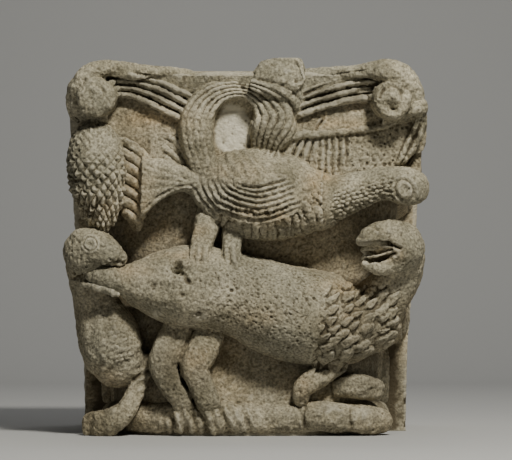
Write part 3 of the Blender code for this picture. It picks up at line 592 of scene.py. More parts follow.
def upper_bird_carving(points, x, z, out, facing):
    """Grooves between the wing's edges, ridges by the share across the arch, and tufts on circles round a hub."""
    wobble = noise(points, 14, seed=19) * 1.2
    grooves = cuts(x + wobble, z + wobble, wing_lines, 2.8, 3.4, taper=0.8)
    from_outer, run = near_line(x, z, smooth_path(ARCH_OUTER, 4.0))
    from_inner, _ = near_line(x, z, smooth_path(ARCH_INNER, 4.0))
    share = from_outer / (from_outer + from_inner)
    on_arch = step_up(out, 132, 138) * (np.maximum(from_outer, from_inner) < 50) * step_up(run, 0.05, 0.2) \
        * (1 - step_up(run, 0.95, 1.0)) * (z > 276 - 60 * (x < -28)) * (1 - step_up(z, 356, 361) * step_up(x, 8, 14))
    strength = 0.35 + 0.65 * step_up(run, 0.32, 0.45)
    ribbed = on_arch * strength * 3.2 * (np.abs(np.sin(np.pi * (ARCH_RIDGES * share + 0.04 * wobble))) ** 0.8 - 0.75)
    below, _ = near_line(x, z, smooth_path(WING_OUTER, 4.0))
    from_hub = np.hypot(x - 14, z - 330)
    belly = step_up(below, 2.5, 5) * step_up(from_hub, 100, 106) * step_up(x, -34, -24) * (1 - step_up(x, 76, 80)) \
        * (1 - step_up(z - 0.3 * x, 228, 240)) * (1 - step_up(-x, 1, 6) * (1 - step_up(z, 208, 213)))
    fan = np.arctan2(x - 14, 330 - z) * 108 + 1.5 * noise(points, 10, seed=29)
    tufts = belly * (locks(from_hub + 2 * wobble, fan, 13.0, 7.4, jitter=0.7, seed=47) * 3.4 - 1.9)
    toes = (step_up(x, -62, -56) * (1 - step_up(x, 0, 5)) * (1 - step_up(z, 184, 196)) * step_up(out, 142, 150)
            * (2.6 * np.abs(np.sin((x + 0.12 * (z - 180) * np.sign(x + 30)) / 2.3)) - 1.4))
    breast = step_up(x, 40, 58) * (1 - step_up(x, 76, 79)) * (z < 266)
    dotted = -1.5 * pits(points, 4.6, seed=57, share=0.9, radius=0.5) * breast
    collar = (2.4 * step_up(x, 58, 70) * (1 - step_up(x, 76.5, 78.5)) * step_up(z, 205, 215)
              * (1 - step_up(z, 262, 270)))
    axis = np.interp(x, [80, 110, 140, 160], [236, 246, 254, 254])
    neck = step_up(x, 82, 92) * (1 - step_up(x, 146, 154))
    dots = neck * (1 - step_up(z - axis, -2, 10)) * (locks(x + 0.5 * z, z - axis, 5.6, 4.2, 0.8, seed=59) * 2.6 - 1.2)
    tail = (1 - step_up(x, -52, -44)) * step_up(z, 205, 215)
    rays = tail * cuts(x, z, [[(-99, 272), (-75, 264), (-52, 256)], [(-99, 260), (-75, 257), (-52, 253)],
                              [(-100, 247), (-78, 251), (-54, 251)], [(-101, 235), (-82, 243), (-56, 249)]], 2.4, 1.1)
    rim_line = [(-103, 226), (-87, 240), (-69, 249.5), (-54, 252), (-46, 240), (-32, 224), (-12, 212)]
    rim = ridges(x, z, [np.add(rim_line, (0, -4.5))], 2.6, 1.2) + cuts(x, z, [rim_line], 1.9, 1.8)
    c, s = math.cos(math.radians(-24)), math.sin(math.radians(-24))
    eye_x, eye_z = c * (x - 160) - s * (z - 247.5), s * (x - 160) + c * (z - 247.5)
    eye = np.hypot(eye_x / 11.4, eye_z / 14.0) + 0.06 * wobble
    eyes = (1.5 * np.exp(-((eye - 1) / 0.15) ** 2) + 1.4 * np.exp(-((eye - 0.5) / 0.14) ** 2)
            - 1.4 * np.exp(-((eye - 0.75) / 0.11) ** 2) - 1.0 * np.exp(-(eye / 0.25) ** 2))
    shoulder = step_up(z, 252, 262) * (1 - step_up(z, 286, 292)) * (1 - step_up(x, 56, 70)) * step_up(x, -34, -20)
    slanted = 0.55 * np.sin((x * 0.9 + z * 0.6 + 2 * wobble) / 1.5) * shoulder
    broken = step_up(z, 352, 358) * step_up(out, 150, 156)
    facets = broken * (2.6 * noise(points, 15, seed=33, octaves=2) - 4.0 * step_up(x - 0.4 * (z - 360), 40, 56)
                       - 3.0 * step_up(z + 0.5 * x, 388, 402))
    return facing * (grooves + ribbed + tufts + toes + dotted + collar + dots + rays + rim + eyes + slanted + facets)


carve(upper_bird, upper_bird_carving, 0.9)

# %% [markdown]
# The bird at the left corner holds the big bird's tail in its beak. Its breast is cut into small scales that
# catch the light below the shadow of the big bird, and a thick curl runs from it down to the foot roll.

# %% Corner bird
corner_bird = fused("corner_bird", [
    ball((-157, 183.5, 134), (25.5, 25, 25)),
    limb([(-160, 190, 138, 18), (-146, 187, 145, 17.5), (-135, 183, 150, 13.5), (-128, 179.5, 150, 10),
          (-126, 178.5, 150, 8)], squareness=2.8),
    limb([(-164, 153.5, 140, 2.6), (-146, 149, 152, 3.0), (-128, 142.5, 152, 2.2)], back=3.0, squareness=4),
    limb([(-160, 172, 124, 20), (-156, 152, 112, 20), (-148, 130, 107, 24), (-138, 106, 109, 30), (-131, 84, 111, 31),
          (-127, 76, 110, 27)], back=0.7),
    limb([(-97, 78, 108, 6), (-101, 66, 112, 7.5), (-107, 51, 117, 8.5), (-113, 37, 122, 9), (-122, 24, 125, 11),
          (-136, 14.5, 122, 14), (-150, 13, 112, 13)], back=1.6, squareness=2.8),
], 1.15)


def corner_bird_carving(points, x, z, out, facing):
    """Rings round the eye, a long cut for the beak, pits on nape and jaw, and small scales over the breast."""
    ring = np.hypot(x + 154.5, z - 193)
    eye = (1.2 * np.exp(-((ring - 8.4) / 1.1) ** 2) + 1.2 * np.exp(-((ring - 4.8) / 1.1) ** 2)
           - 0.9 * np.exp(-((ring - 6.6) / 0.9) ** 2) - 1.2 * np.exp(-(ring / 2) ** 2))
    mouth = cuts(x, z, [[(-171, 158), (-160, 161), (-146, 167.5), (-133, 173), (-121, 174.5)]], 2.6, 4.5, taper=0.4)
    head = step_up(z, 153, 158) * step_up(out, 120, 126)
    nape = head * (1 - step_up(x + 0.5 * z, -78, -64))
    jaw = head * (1 - step_up(z - 0.45 * (x + 150), 171, 177))
    stipple = -1.8 * pits(points, 4.6, seed=61, share=0.95, radius=0.5) * np.maximum(nape, jaw)
    lip, _ = near_line(x, z, [(-146, 172), (-133, 177), (-122, 178.5)])
    notches = 0.8 * np.sin((x + z) / 1.2) * np.exp(-((lip / 1.6) ** 2))
    belly = np.exp(-(((x + 124) / 17) ** 2 + ((z - 92) / 25) ** 2) ** 2)
    wobble = 1.3 * noise(points, 9, seed=67)
    scales = belly * (locks(x + 0.25 * z + wobble, z - 0.25 * x + wobble, 6.4, 5.0, 0.7, seed=71) * 1.7 - 0.9)
    folds = (1 - belly) * (z < 150) * 0.7 * np.sin((x + 0.12 * z + 3 * wobble) / 2.4) * step_up(-x, 118, 128)
    curl = (1 - step_up(z, 66, 74)) * step_up(x, -116, -104) * step_up(z, 34, 46)
    bands = curl * 1.3 * np.sin((z - 0.4 * x + wobble) / 1.4)
    return facing * (eye + mouth + stipple + notches + scales + folds + bands)


carve(corner_bird, corner_bird_carving, 0.9)

# %% [markdown]
# The pine cone is a turned form whose scales run round it in crossing spirals. They are worn nearly flat at the
# top and stand up as small pyramids towards the tip.

# %% Pine cone
cone = fused("pine_cone", [limb([(-150, 313, 128, 13), (-150.5, 299, 131, 25), (-149.5, 274, 132, 29.5),
                                 (-148, 248, 130, 26.5), (-146, 232, 128, 21.5), (-144, 217, 126, 14.5),
                                 (-142, 206, 124, 5)], back=0.6)], 1.05)


def cone_carving(points, x, z, out, facing):
    """Pyramids on a lattice that two opposed spirals draw round the cone, higher towards the tip."""
    axis = -151 + (300 - z) * 0.07
    wobble = 0.22 * noise(points, 11, seed=73)
    turn = np.arctan2(out - 118, x - axis) * 4.2 + wobble
    down = (312 - z) / (9.2 + 1.2 * step_up(312 - z, 30, 90)) + 0.8 * wobble
    a = np.abs((turn + down) % 1 - 0.5) * 2
    b = np.abs((turn - down) % 1 - 0.5) * 2
    height = 0.55 + 0.9 * scramble(np.floor(turn + down), np.floor(turn - down), np.zeros(len(x)), 79)
    worn = (0.25 + 0.75 * step_up(312 - z, 18, 64)) * (0.45 + 0.55 * facing)
    return worn * ((1 - np.maximum(a, b) ** 1.3) * 4.6 * height - 1.8) + 0.8 * noise(points, 4, seed=75)


carve(cone, cone_carving)

# %% [markdown]
# Between the cone and the arch the ground is a tan plate with a ribbed leaf along the cone and a second, worn
# leaf by the arch. The ribs are drawn one by one, as beans that run down to the right.

# %% Leaves
leaves = fused("leaves", [
    slab([(-146, 336), (-128, 352), (-100, 349), (-75, 340), (-56, 328)],
         [(-140, 262), (-126, 240), (-121, 222), (-112, 207), (-103, 212), (-97, 236), (-84, 256), (-56, 258)],
         133, 40),
], 1.15)
LEAF_RIB_TOPS = np.linspace(291, 219, 7)


def leaf_carving(points, x, z, out, facing):
    """Ridges along each rib of both leaves, on a field that lies a little lower."""
    ribs = [[(-122, top + 6), (-113, top + 1), (-105, top - 5), (-98 - 0.1 * (291 - top), top - 13)]
            for top in LEAF_RIB_TOPS]
    second = [[(-79, 302), (-69, 296), (-61, 284), (-57, 270)], [(-81, 290), (-71, 282), (-61, 272)],
              [(-81, 280), (-69, 272)]]
    field = -1.5 * step_up(x, -128, -120) * (1 - step_up(x, -98, -94)) * (1 - step_up(z, 290, 300))
    uneven = 1 + 0.4 * noise(points, 7, seed=77)
    raised = (ridges(x, z, ribs, 4.6, 4.4, taper=0.4) + ridges(x, z, second, 3.0, 2.4)) * uneven
    hollow = -3.5 * step_up(x, -66, -56) * (1 - step_up(z, 300, 325))
    return facing * (field + raised + hollow)


carve(leaves, leaf_carving, 0.9)

# %% [markdown]
# At each upper corner a stalk of four strands comes out from behind the arch, spreads, and rolls up into a
# scroll. The strands are half-round ridges on a plate with dark gaps between them. The plain band above them
# turns over the top of the scroll.

# %% Corner scrolls
def boss(centre, lean, radius, length, face=front):
    """The drum of a scroll: a domed round carried back from its face, drifting by `lean`."""
    share = np.array([0, 0.01, 0.05, 0.11, 0.2, 0.4, 0.7, 1.0])
    size = np.array([0, 0.5, 0.8, 0.94, 1.0, 1.04, 1.07, 1.08])
    angle = np.linspace(0, 2 * np.pi, 48, endpoint=False)
    rings = np.empty((len(share), 48, 3))
    rings[..., 0] = centre[0] + lean[0] * share[:, None] + radius * size[:, None] * np.cos(angle)
    rings[..., 1] = centre[1] + lean[1] * share[:, None] + radius * size[:, None] * np.sin(angle)
    rings[..., 2] = centre[2] - length * share[:, None]
    rings = np.vstack([rings, rings[-1:].mean(1, keepdims=True).repeat(48, 1)])
    return face(rings.reshape(-1, 3)), grid_faces(*rings.shape[:2])


LEFT_STRANDS = [[(-150, 356), (-139, 363), (-117, 362.5), (-86, 355), (-52, 340)],
                [(-137, 353), (-128, 356), (-111, 355), (-80, 345), (-54, 331)],
                [(-134, 347.5), (-124, 349.5), (-108, 347.5), (-80, 336), (-56, 323)],
                [(-133, 342), (-122, 343), (-107, 340), (-84, 329), (-60, 317.5)]]
RIGHT_STRANDS = [[(134, 364), (116, 363), (96, 360), (76, 354), (54, 345)],
                 [(133, 356.5), (116, 355), (96, 351.5), (74, 345.5), (52, 337)],
                 [(131, 349), (114, 347), (96, 343.5), (74, 337.5), (51, 329.5)],
                 [(130, 341.5), (112, 339), (96, 336), (74, 330), (52, 322)]]
left_scroll = fused("left_scroll", [
    boss((-150, 339.5, 166), (4, 2), 19.3, 36),
    limb([(-44, 361, 134, 4), (-72, 365, 138, 5), (-100, 367, 142, 6), (-122, 369, 146, 7), (-141, 370, 149, 8),
          (-157, 364, 150, 9), (-168, 352, 146, 9), (-173, 337, 141, 7.5), (-172, 325, 137, 6.5),
          (-168, 319, 134, 6)], back=1.6),
    slab([(-158, 368), (-130, 372), (-100, 370), (-60, 366), (-40, 362)],
         [(-150, 338), (-128, 336), (-106, 332), (-84, 322), (-54, 310)], 139, 44),
], 1.1)
right_scroll = fused("right_scroll", [
    boss((148, 337.5, 166), (-3, 0), 19.8, 42),
    limb([(58, 364, 134, 4), (88, 366, 138, 5), (112, 367, 142, 6), (128, 368, 146, 9), (144, 366, 149, 13),
          (158, 359, 150, 14.5), (168, 347, 147, 11.5), (172.5, 331, 142, 8)], back=1.6),
    slab([(48, 366), (80, 369), (112, 371), (160, 368)], [(44, 314), (70, 322), (96, 330), (156, 338)], 140, 44),
], 1.1)


def left_scroll_carving(points, x, z, out, facing):
    """Half-round strands on the band, and on the scroll's face a spiral cut round a small boss."""
    wobble = 0.7 * noise(points, 12, seed=83)
    on_band = 1 - step_up(out, 148, 153)
    strands = on_band * (ridges(x + wobble, z + wobble, LEFT_STRANDS, 3.5, 10.5, taper=0.3)
                         - 5.4 * (1 - step_up(z - np.interp(x, [-139, -86, -52], [366, 360, 346]), -1, 3)))
    face_on = step_up(out, 150, 156)
    dx, dz = x + 149, z - 344
    ring, angle = np.hypot(dx, dz), np.arctan2(dz, dx)
    curl = -1.3 * np.exp(-((ring - 7.5 - 1.3 * angle + 2 * wobble) / 1.7) ** 2) * step_up(angle, -1.6, -0.4)
    nub = 1.2 * np.exp(-(ring / 3.6) ** 2) + 1.4 * noise(points, 7, seed=87, octaves=2)
    return facing * (strands + face_on * (curl + nub))


def right_scroll_carving(points, x, z, out, facing):
    """As the left scroll, with a slot in the band and the pieces that are lost from its face."""
    wobble = 0.7 * noise(points, 12, seed=89)
    on_band = 1 - step_up(out, 149, 154)
    below = step_up(z - np.interp(x, [52, 96, 130], [320, 333.5, 339]), -4, 0)
    depth = np.interp(z - np.interp(x, [52, 96, 130], [345, 360, 365]), [-8, 4], [1, 0.45])
    strands = on_band * below * (depth * ridges(x + wobble, z + wobble, RIGHT_STRANDS, 3.6, 10.7, taper=0.3)
                                 - 5.6 * (1 - step_up(z - np.interp(x, [52, 96, 134], [348, 363, 368]), -1, 3)))
    slot = -6.0 * np.exp(-(near_line(x, z, [(114, 347), (127, 349)])[0] / 2.6) ** 2)
    face_on = step_up(out, 150, 157)
    dx, dz = x - 148, z - 339
    ring, angle = np.hypot(dx, dz), np.arctan2(dz, dx)
    curl = -1.9 * np.exp(-((ring - 9.5 - 1.6 * angle + 3 * wobble) / 1.9) ** 2) * step_up(angle, -1.6, -0.2)
    nub = 2.2 * np.exp(-((dx + 0.5) ** 2 + (dz - 3.5) ** 2) / 14) + 1.8 * noise(points, 7, seed=93, octaves=2)
    lost = (-9 * spot(x, z, (148.5, 329), (4.5, 5)) - 3.5 * spot(x, z, (144, 334), (5, 4))
            - 3 * spot(x, z, (158, 345), (3, 6)))
    ragged = 0.8 + 0.6 * noise(points, 5, seed=91)
    return facing * (strands + slot * on_band + face_on * (curl + nub + lost * ragged))


carve(left_scroll, left_scroll_carving, 0.9)
carve(right_scroll, right_scroll_carving, 0.9)

# %% [markdown]
# Behind the upper bird's neck a wing is spread flat on the bell. Its upper edge is a raised band that climbs to
# the corner. Below it a few flutes turn into a stippled field, and two ribs close it at the corner. The plain
# triangle between the band and the strands lies nearly as high.

# %% Right wing
right_wing = fused("right_wing", [
    slab([(36, 320), (60, 330), (95, 338), (125, 340), (150, 334), (172, 330), (182, 322)],
         [(42, 262), (60, 252), (75, 248), (96, 246), (127, 248), (142, 248), (152, 258), (162, 276), (178, 300)],
         137, 44),
    limb([(172, 330, 146, 11), (175, 314, 138, 8), (172, 292, 124, 9)], back=1.6),
    slab([(120, 300), (150, 300), (176, 300)], [(120, 236), (150, 236), (176, 236)], 120, 30, squareness=3),
], 1.15)
RIM = [(40, 299), (58, 303), (78, 303.5), (100, 306), (127, 309), (143, 312.5), (158, 319), (174, 328)]


def wing_carving(points, x, z, out, facing):
    """A ridge along the rim, V-shaped flutes under it, pits in the field and two ribs at the corner."""
    on_wing = step_up(out, 124, 130)
    rim_height = np.interp(x, *np.transpose(RIM))
    under = (1 - step_up(z - rim_height, -5, -2.5)) * on_wing
    rim = ridges(x, z, [RIM], 3.6, 2.4, taper=0)
    field = -1.8 * under - 1.2 * step_up(z - rim_height, 3, 8) * (1 - step_up(x, 128, 150))
    wobble = 0.8 * noise(points, 12, seed=97)
    flutes = under * (cuts(x + wobble, z, [[(75, 300), (74, 262)], [(81, 300), (80.5, 258)], [(87, 300), (87.5, 258)],
                                           [(94, 301), (95, 262)], [(101, 302), (102, 270)]], 2.8, 2.8)
                      + cuts(x, z, [[(56, 300), (50, 287), (45, 274)], [(63, 301), (57, 285), (51, 270)],
                                    [(70, 301), (65, 284), (60, 266)]], 3.2, 5.5, taper=0.4))
    stippled = -1.9 * pits(points, 4.6, seed=71, share=0.9, radius=0.5) * under * step_up(x, 66, 76)
    end_ribs = ridges(x, z, [[(172, 314), (163, 294), (154, 274)], [(179, 309), (170, 290), (161, 272)]], 3.3, 4.5)
    beyond = -5.0 * step_up(x - (161 + 0.47 * (z - 272)), 2.5, 7) * (1 - step_up(z, 305, 318)) * on_wing
    slot = cuts(x, z, [[(71, 306), (74, 312), (78, 318)]], 2.6, 4.5)
    return facing * (rim + field + flutes + stippled + end_ribs + beyond + slot)


carve(right_wing, wing_carving, 0.9)

# %% [markdown]
# The roll at the foot is the necking, where the capital meets its shaft. The lower birds stand on it, so it
# carries worn claws at the left and lumps at the right, and it disappears into the wall block on both flanks.

# %% Foot roll
ROLL = 16.0


def roll_shape():
    """A circle of the roll's radius carried round the foot of the bell, which is nearly square in plan."""
    angle = np.linspace(0.08, -np.pi - 0.08, 140)
    r = reach(angle, 143 + 9 - ROLL, 124 + 9 - ROLL, 3.2)
    x, y = r * np.cos(angle), r * np.sin(angle)
    along = unit(np.stack([np.gradient(x), np.gradient(y)], -1))
    outwards = np.stack([along[:, 1], -along[:, 0]], -1)
    turn = np.linspace(0, 2 * np.pi, 44, endpoint=False)
    rings = np.empty((len(x), 44, 3))
    rings[..., 0] = x[:, None] + outwards[:, :1] * ROLL * np.cos(turn)
    rings[..., 1] = y[:, None] + outwards[:, 1:] * ROLL * np.cos(turn)
    rings[..., 2] = ROLL + 1.5 + ROLL * squared(np.sin(turn), 2.4)
    ends = [np.repeat(rings[e].mean(0)[None, None], 44, 1) for e in (0, -1)]
    rings = np.vstack([ends[0], rings, ends[1]])
    return rings.reshape(-1, 3) * MM, grid_faces(*rings.shape[:2])


foot_roll = fused("foot_roll", [
    roll_shape(),
    limb([(96, 50, 108, 10), (111, 51, 112, 12.5), (128, 48, 104, 11)], squareness=3.0),
    limb([(66, 22, 120, 15), (88, 20, 121, 15.5), (104, 19, 120, 14)]),
    limb([(108, 18, 119, 14), (122, 17, 114, 15), (134, 16, 106, 13)]),
    limb([(-62, 28, 126, 9), (-64, 18, 128, 8), (-66, 9, 128, 6)]),
    limb([(-36, 30, 128, 9), (-32, 18, 129, 9), (-30, 9, 128, 7)]),
    limb([(-18, 28, 126, 9), (-10, 18, 128, 8), (-4, 10, 127, 6)]),
], 1.2)


def roll_carving(points, x, z, out, facing):
    """A sine along the roll for the claws, cuts between the lumps, and what broke off its foot."""
    wobble = 2.5 * noise(points, 18, seed=3)
    claws = (step_up(x, -84, -74) * (1 - step_up(x, 2, 14)) * (1 - step_up(z, 26, 33)) * 1.3
             * np.sin((x + 0.4 * z + wobble) / 1.7))
    broken = -3.8 * np.maximum(0, noise(points, 13, seed=81, octaves=3)) * (1 - step_up(z, 10, 24))
    gaps = cuts(x, z, [[(106, 32), (105, 20), (107, 8)], [(60, 34), (57, 20), (60, 8)]], 2.6, 2.5)
    scars = -2.4 * np.maximum(0, noise(points, 9, seed=85)) ** 2 * step_up(z, 14, 24)
    return facing * (claws + broken + gaps + scars)


carve(foot_roll, roll_carving)

# %% [markdown]
# The flanks aren't in the picture. They get the same kind of figures, plainer and flatter: a bird above and a
# bird below on each side with a few broad grooves for wings, and the scrolls' other faces with their strands.

# %% Flanks
SIDE_UPPER = [(-112, 352), (-80, 358), (-30, 354), (20, 346), (70, 336), (128, 330)]
SIDE_LOWER = [(-104, 334), (-78, 338), (-30, 332), (20, 322), (70, 310), (128, 304)]
SIDE_STRANDS = [between(SIDE_UPPER, SIDE_LOWER, k / 3) for k in range(4)]


def flank_figures(name, face, scroll_height):
    """Two birds, the lower one's legs, a scroll's drum and its strands: limbs laid out on one flank."""
    birds = [limb([(-84, 132, 144, 20), (-50, 128, 140, 30), (-10, 120, 137, 36), (35, 106, 136, 34),
                   (80, 92, 140, 20), (124, 84, 146, 12)], back=0.6, face=face),
             limb([(-78, 262, 150, 18), (-40, 256, 146, 30), (0, 250, 146, 34), (40, 244, 146, 28),
                   (84, 240, 148, 16), (124, 250, 150, 12)], back=0.6, face=face)]
    legs = [limb([(u + 8, 84, 140, 12), (u - 4, 62, 141, 11), (u + 6, 34, 144, 8)], back=1.3, face=face)
            for u in (-26, 14)]
    scroll = [boss((-128, scroll_height, 178), (0, -4), 18.5, 40, face=face),
              limb([(-108, scroll_height + 15, 164, 8), (-126, scroll_height + 21, 164, 9),
                    (-143, scroll_height + 13, 162, 9)], face=face)]
    strands = [limb([(u, z, 172 - 8 * n / 5, 4.0) for n, (u, z) in enumerate(line)], back=1.6, face=face)
               for line in SIDE_STRANDS]
    return fused(name, birds + legs + scroll + strands, 1.9)


def flank_carving(points, x, z, out, facing):
    """Arcs round a centre above each bird's back, as on the front."""
    y, height = points[:, 1] / MM, points[:, 2] / MM
    cut = 0.0
    for centre, inner, outer in (((-10, 190), 62, 96), ((0, 320), 64, 94)):
        r = np.hypot(y - centre[0], height - centre[1])
        wing = (step_up(r, inner, inner + 3) * (1 - step_up(r, outer - 3, outer)) * step_up(y, -58, -46)
                * (1 - step_up(y, 26, 46)) * (height < centre[1]))
        cut = cut + wing * (1.2 - 3.2 * step_up(np.abs((r / 6.5) % 1 - 0.5) * 2, 0.5, 1.0))
    return step_up(np.abs(points[:, 0]) / MM, 150, 160) * cut


flanks = [flank_figures("left_flank_figures", left, 337), flank_figures("right_flank_figures", right, 334)]
for figure in flanks:
    carve(figure, flank_carving, 0.8)

# %% [markdown]
# Everything stays inside the block's true box, as the real block was cut from one with flat beds. Each vertex
# that noise carried past a bed, the back or a side comes back to it. The carvings end just inside the back, so
# that only the block shows there.

# %% Keep to the box
PIECES = [block, lower_bird, upper_bird, corner_bird, cone, leaves, left_scroll, right_scroll, right_wing, foot_roll,
          *flanks]
BEHIND_THE_BACK = 0.002  # metres
for piece in PIECES:
    co, _ = positions(piece.data)
    high = np.array(STONE_HIGH) - (0, 0 if piece is block else BEHIND_THE_BACK, 0)
    piece.data.vertices.foreach_set("co", np.clip(co, STONE_LOW, high).ravel())
    piece.data.update()
    piece.data.shade_smooth()

# %% [markdown]
# Hollows are painted darker, as painted shade with the dirt that gathers there, and ridges paler, where hands and
# rain wore them, with a painted highlight. How hollow each place is can be measured: smooth a copy of the mesh and
# see on which side of it the real vertex lies. The stains of the stone belong to places: ochre where iron bled out,
# and a pale patch of later mortar in the niche. Spots of painted shade lie where the front is in shadow. All go into
# named attributes that the material reads, so they follow the carving exactly.

# %% Measure hollows and lay out stains and painted shade
def relax(values, edges, rounds):
    """Each vertex's values replaced again and again by the mean with its neighbours."""
    count = len(values)
    valence = np.bincount(edges.ravel(), minlength=count)[:, None].clip(1)
    for _ in range(rounds):
        total = np.stack([np.bincount(edges[:, 0], column[edges[:, 1]], count)
                          + np.bincount(edges[:, 1], column[edges[:, 0]], count) for column in values.T], -1)
        values = 0.5 * values + 0.5 * total / valence
    return values


# Each spot is its drawn place, its half sizes and its strength.
OCHRE_SPOTS = [((143, 183), (14, 7), 1.0), ((104, 150), (24, 9), 0.9), ((88, 316), (34, 9), 0.8),
               ((80, 262), (14, 9), 1.0), ((-132, 226), (20, 16), 0.6), ((-108, 250), (13, 48), 0.8),
               ((30, 222), (46, 14), 0.6), ((70, 250), (10, 22), 0.8), ((-112, 165), (16, 8), 0.9),
               ((-60, 182), (30, 8), 0.6), ((-48, 80), (26, 20), 0.5), ((100, 118), (20, 24), 0.6),
               ((62, 50), (16, 14), 0.7), ((-92, 318), (36, 12), 0.9), ((-70, 205), (34, 14), 0.7),
               ((112, 330), (14, 9), 0.5), ((-10, 265), (26, 12), 0.4), ((15, 120), (30, 12), 0.4),
               ((-135, 60), (16, 9), 0.5)]
# Spots of painted shade where the front lies in shadow: the strands below the top band, under and beside the birds,
# and the hollow below the corner bird.
SHADE_SPOTS = [((-92, 346), (42, 13), 1.0), ((92, 343), (40, 12), 1.0), ((112, 105), (34, 30), 0.8),
               ((-76, 70), (16, 34), 1.0), ((-45, 60), (14, 24), 0.6), ((-135, 40), (16, 16), 1.0),
               ((128, 60), (14, 40), 0.8), ((-150, 230), (24, 24), 0.4), ((-150, 175), (30, 20), 0.3),
               ((5, 70), (60, 12), 0.3), ((150, 190), (30, 20), 0.35), ((-128, 95), (18, 30), 0.5)]
CHIP_SPOTS = [((-152, 151), (12, 2)), ((-134, 144), (10, 2.5)), ((-64, 22), (8, 9)), ((-90, 122), (9, 4)),
              ((-42, 118), (6, 3)), ((-8, 24), (7, 5)), ((-66, 372), (6, 3)), ((42, 366), (10, 7)),
              ((90, 26), (14, 7)), ((118, 22), (10, 7))]
NICHE, NICHE_HALF_SIZES = (-12.5, 308), (19, 26)
ON_THE_FRONT, ON_THE_BELL, IN_THE_NICHE = 90, 60, 137  # ranges of out

# %% [markdown]
# Rain reaches what stands out, and what lies well below its surroundings is painted darker: painted shade with some
# dirt. A coarse map of how far the front stands out, blurred, gives the height that surrounds each place.

# %% Map of the surrounding height
HEIGHT_CELL, MAP_CELLS = 3.0, 134
MAP_LEFT, MAP_FOOT = -200, -10
LOWEST_OUT = 60.0
BLURS = 14


def height_cells(x, z):
    """Row and column of the drawn place on a map of the front with square cells."""
    across, up = (x - MAP_LEFT) / HEIGHT_CELL, (z - MAP_FOOT) / HEIGHT_CELL
    return np.clip(across, 0, MAP_CELLS - 1).astype(int), np.clip(up, 0, MAP_CELLS - 1).astype(int)


def surrounding_height():
    """The front's farthest point out in each cell, blurred over about 30 mm: what stands around each place."""
    farthest = np.full((MAP_CELLS, MAP_CELLS), LOWEST_OUT)
    for piece in PIECES:
        x, z, out = drawn(positions(piece.data)[0]).T
        np.maximum.at(farthest, height_cells(x, z), out)
    for _ in range(BLURS):
        padded = np.pad(farthest, 1, mode="edge")
        farthest = (padded[:-2, 1:-1] + padded[2:, 1:-1] + padded[1:-1, :-2] + padded[1:-1, 2:] + 2 * farthest) / 6
    return farthest


around = surrounding_height()
print("surrounding height: farthest out", round(float(around.max()), 1), "mm")

# %% [markdown]
# Now each vertex gets its measures. The masks keep what belongs to the front off the flanks and the back.

# %% Give each piece its attributes
def measured(obj):
    """Hollowness at two scales and depth below the surroundings in millimetres, and the shares of the stains and of
    the painted shade.
    """
    co, normal = positions(obj.data)
    x, z, out = drawn(co).T
    sunken = np.clip(around[height_cells(x, z)] - out, -20, 40)
    edges = np.empty(len(obj.data.edges) * 2, dtype=np.int32)
    obj.data.edges.foreach_get("vertices", edges)
    edges = edges.reshape(-1, 2)
    fine = ((relax(co, edges, 3) - co) * normal).sum(1) / MM
    broad = ((relax(co, edges, 26) - co) * normal).sum(1) / MM
    patchy = 0.75 + 0.5 * noise(co, 16, seed=101, octaves=3)
    ochre = np.zeros(len(x))
    for place, size, strength in OCHRE_SPOTS:
        ochre = np.maximum(ochre, strength * spot(x, z, place, size) * patchy)
    # Painted shade: spots where the front lies in shadow.
    painted_shade = np.zeros(len(x))
    for place, size, strength in SHADE_SPOTS:
        painted_shade = np.maximum(painted_shade, strength * spot(x, z, place, size) * patchy)
    from_niche = np.hypot((x - NICHE[0]) / NICHE_HALF_SIZES[0], (z - NICHE[1]) / NICHE_HALF_SIZES[1])
    pale = step_up(-from_niche + 0.12 * noise(co, 9, seed=103), -1.05, -0.85)
    pale = pale * (out < IN_THE_NICHE) * (out > ON_THE_FRONT)
    for place, size in CHIP_SPOTS:
        chip = spot(x, z, place, size) * step_up(noise(co, 6, seed=107, octaves=2), -0.1, 0.3)
        pale = np.maximum(pale, 0.55 * chip)
    return {"hollow_fine": fine, "hollow_broad": broad, "painted_shade": painted_shade * (out > ON_THE_BELL),
            "sunken": sunken * (1 - pale) * (out > ON_THE_BELL), "ochre": ochre * (out > ON_THE_FRONT), "pale": pale}


for piece in PIECES:
    for name, values in measured(piece).items():
        attribute = piece.data.attributes.new(name, "FLOAT", "POINT")
        attribute.data.foreach_set("value", values.astype(np.float32))

# %% [markdown]
# The limestone is grey where it stood in the weather, tan in the sheltered hollows and ochre where iron came out
# of it. Its tones change over hand-sized areas, over coarse grains and over a fine speckle, so noises of
# different size mix the colours. The measured attributes darken the cuts, hollows and recesses with painted shade
# and dirt, lighten the edges with wear and a painted highlight, and lay painted shade where the front is in shadow.

# %% Limestone
COOL_GREY, IRON_OCHRE = (0.235, 0.228, 0.178), (0.400, 0.285, 0.150)
# The worn edge colour is rubbed wear with a painted highlight on the ridges.
PALE_MORTAR, WORN_EDGE_AND_HIGHLIGHT = (0.640, 0.600, 0.480), (0.560, 0.520, 0.410)
# The dark colours below are painted shade: in cuts, hollows and recesses with some dirt mixed in, and alone for the
# spots where the front lies in shadow.
SHADE_AND_DIRT_IN_CUTS, SHADE_AND_DIRT_IN_HOLLOWS = (0.062, 0.049, 0.028), (0.080, 0.062, 0.036)
SHADE_AND_DIRT_IN_RECESSES, PAINTED_SHADE_COLOUR = (0.055, 0.044, 0.026), (0.060, 0.050, 0.030)


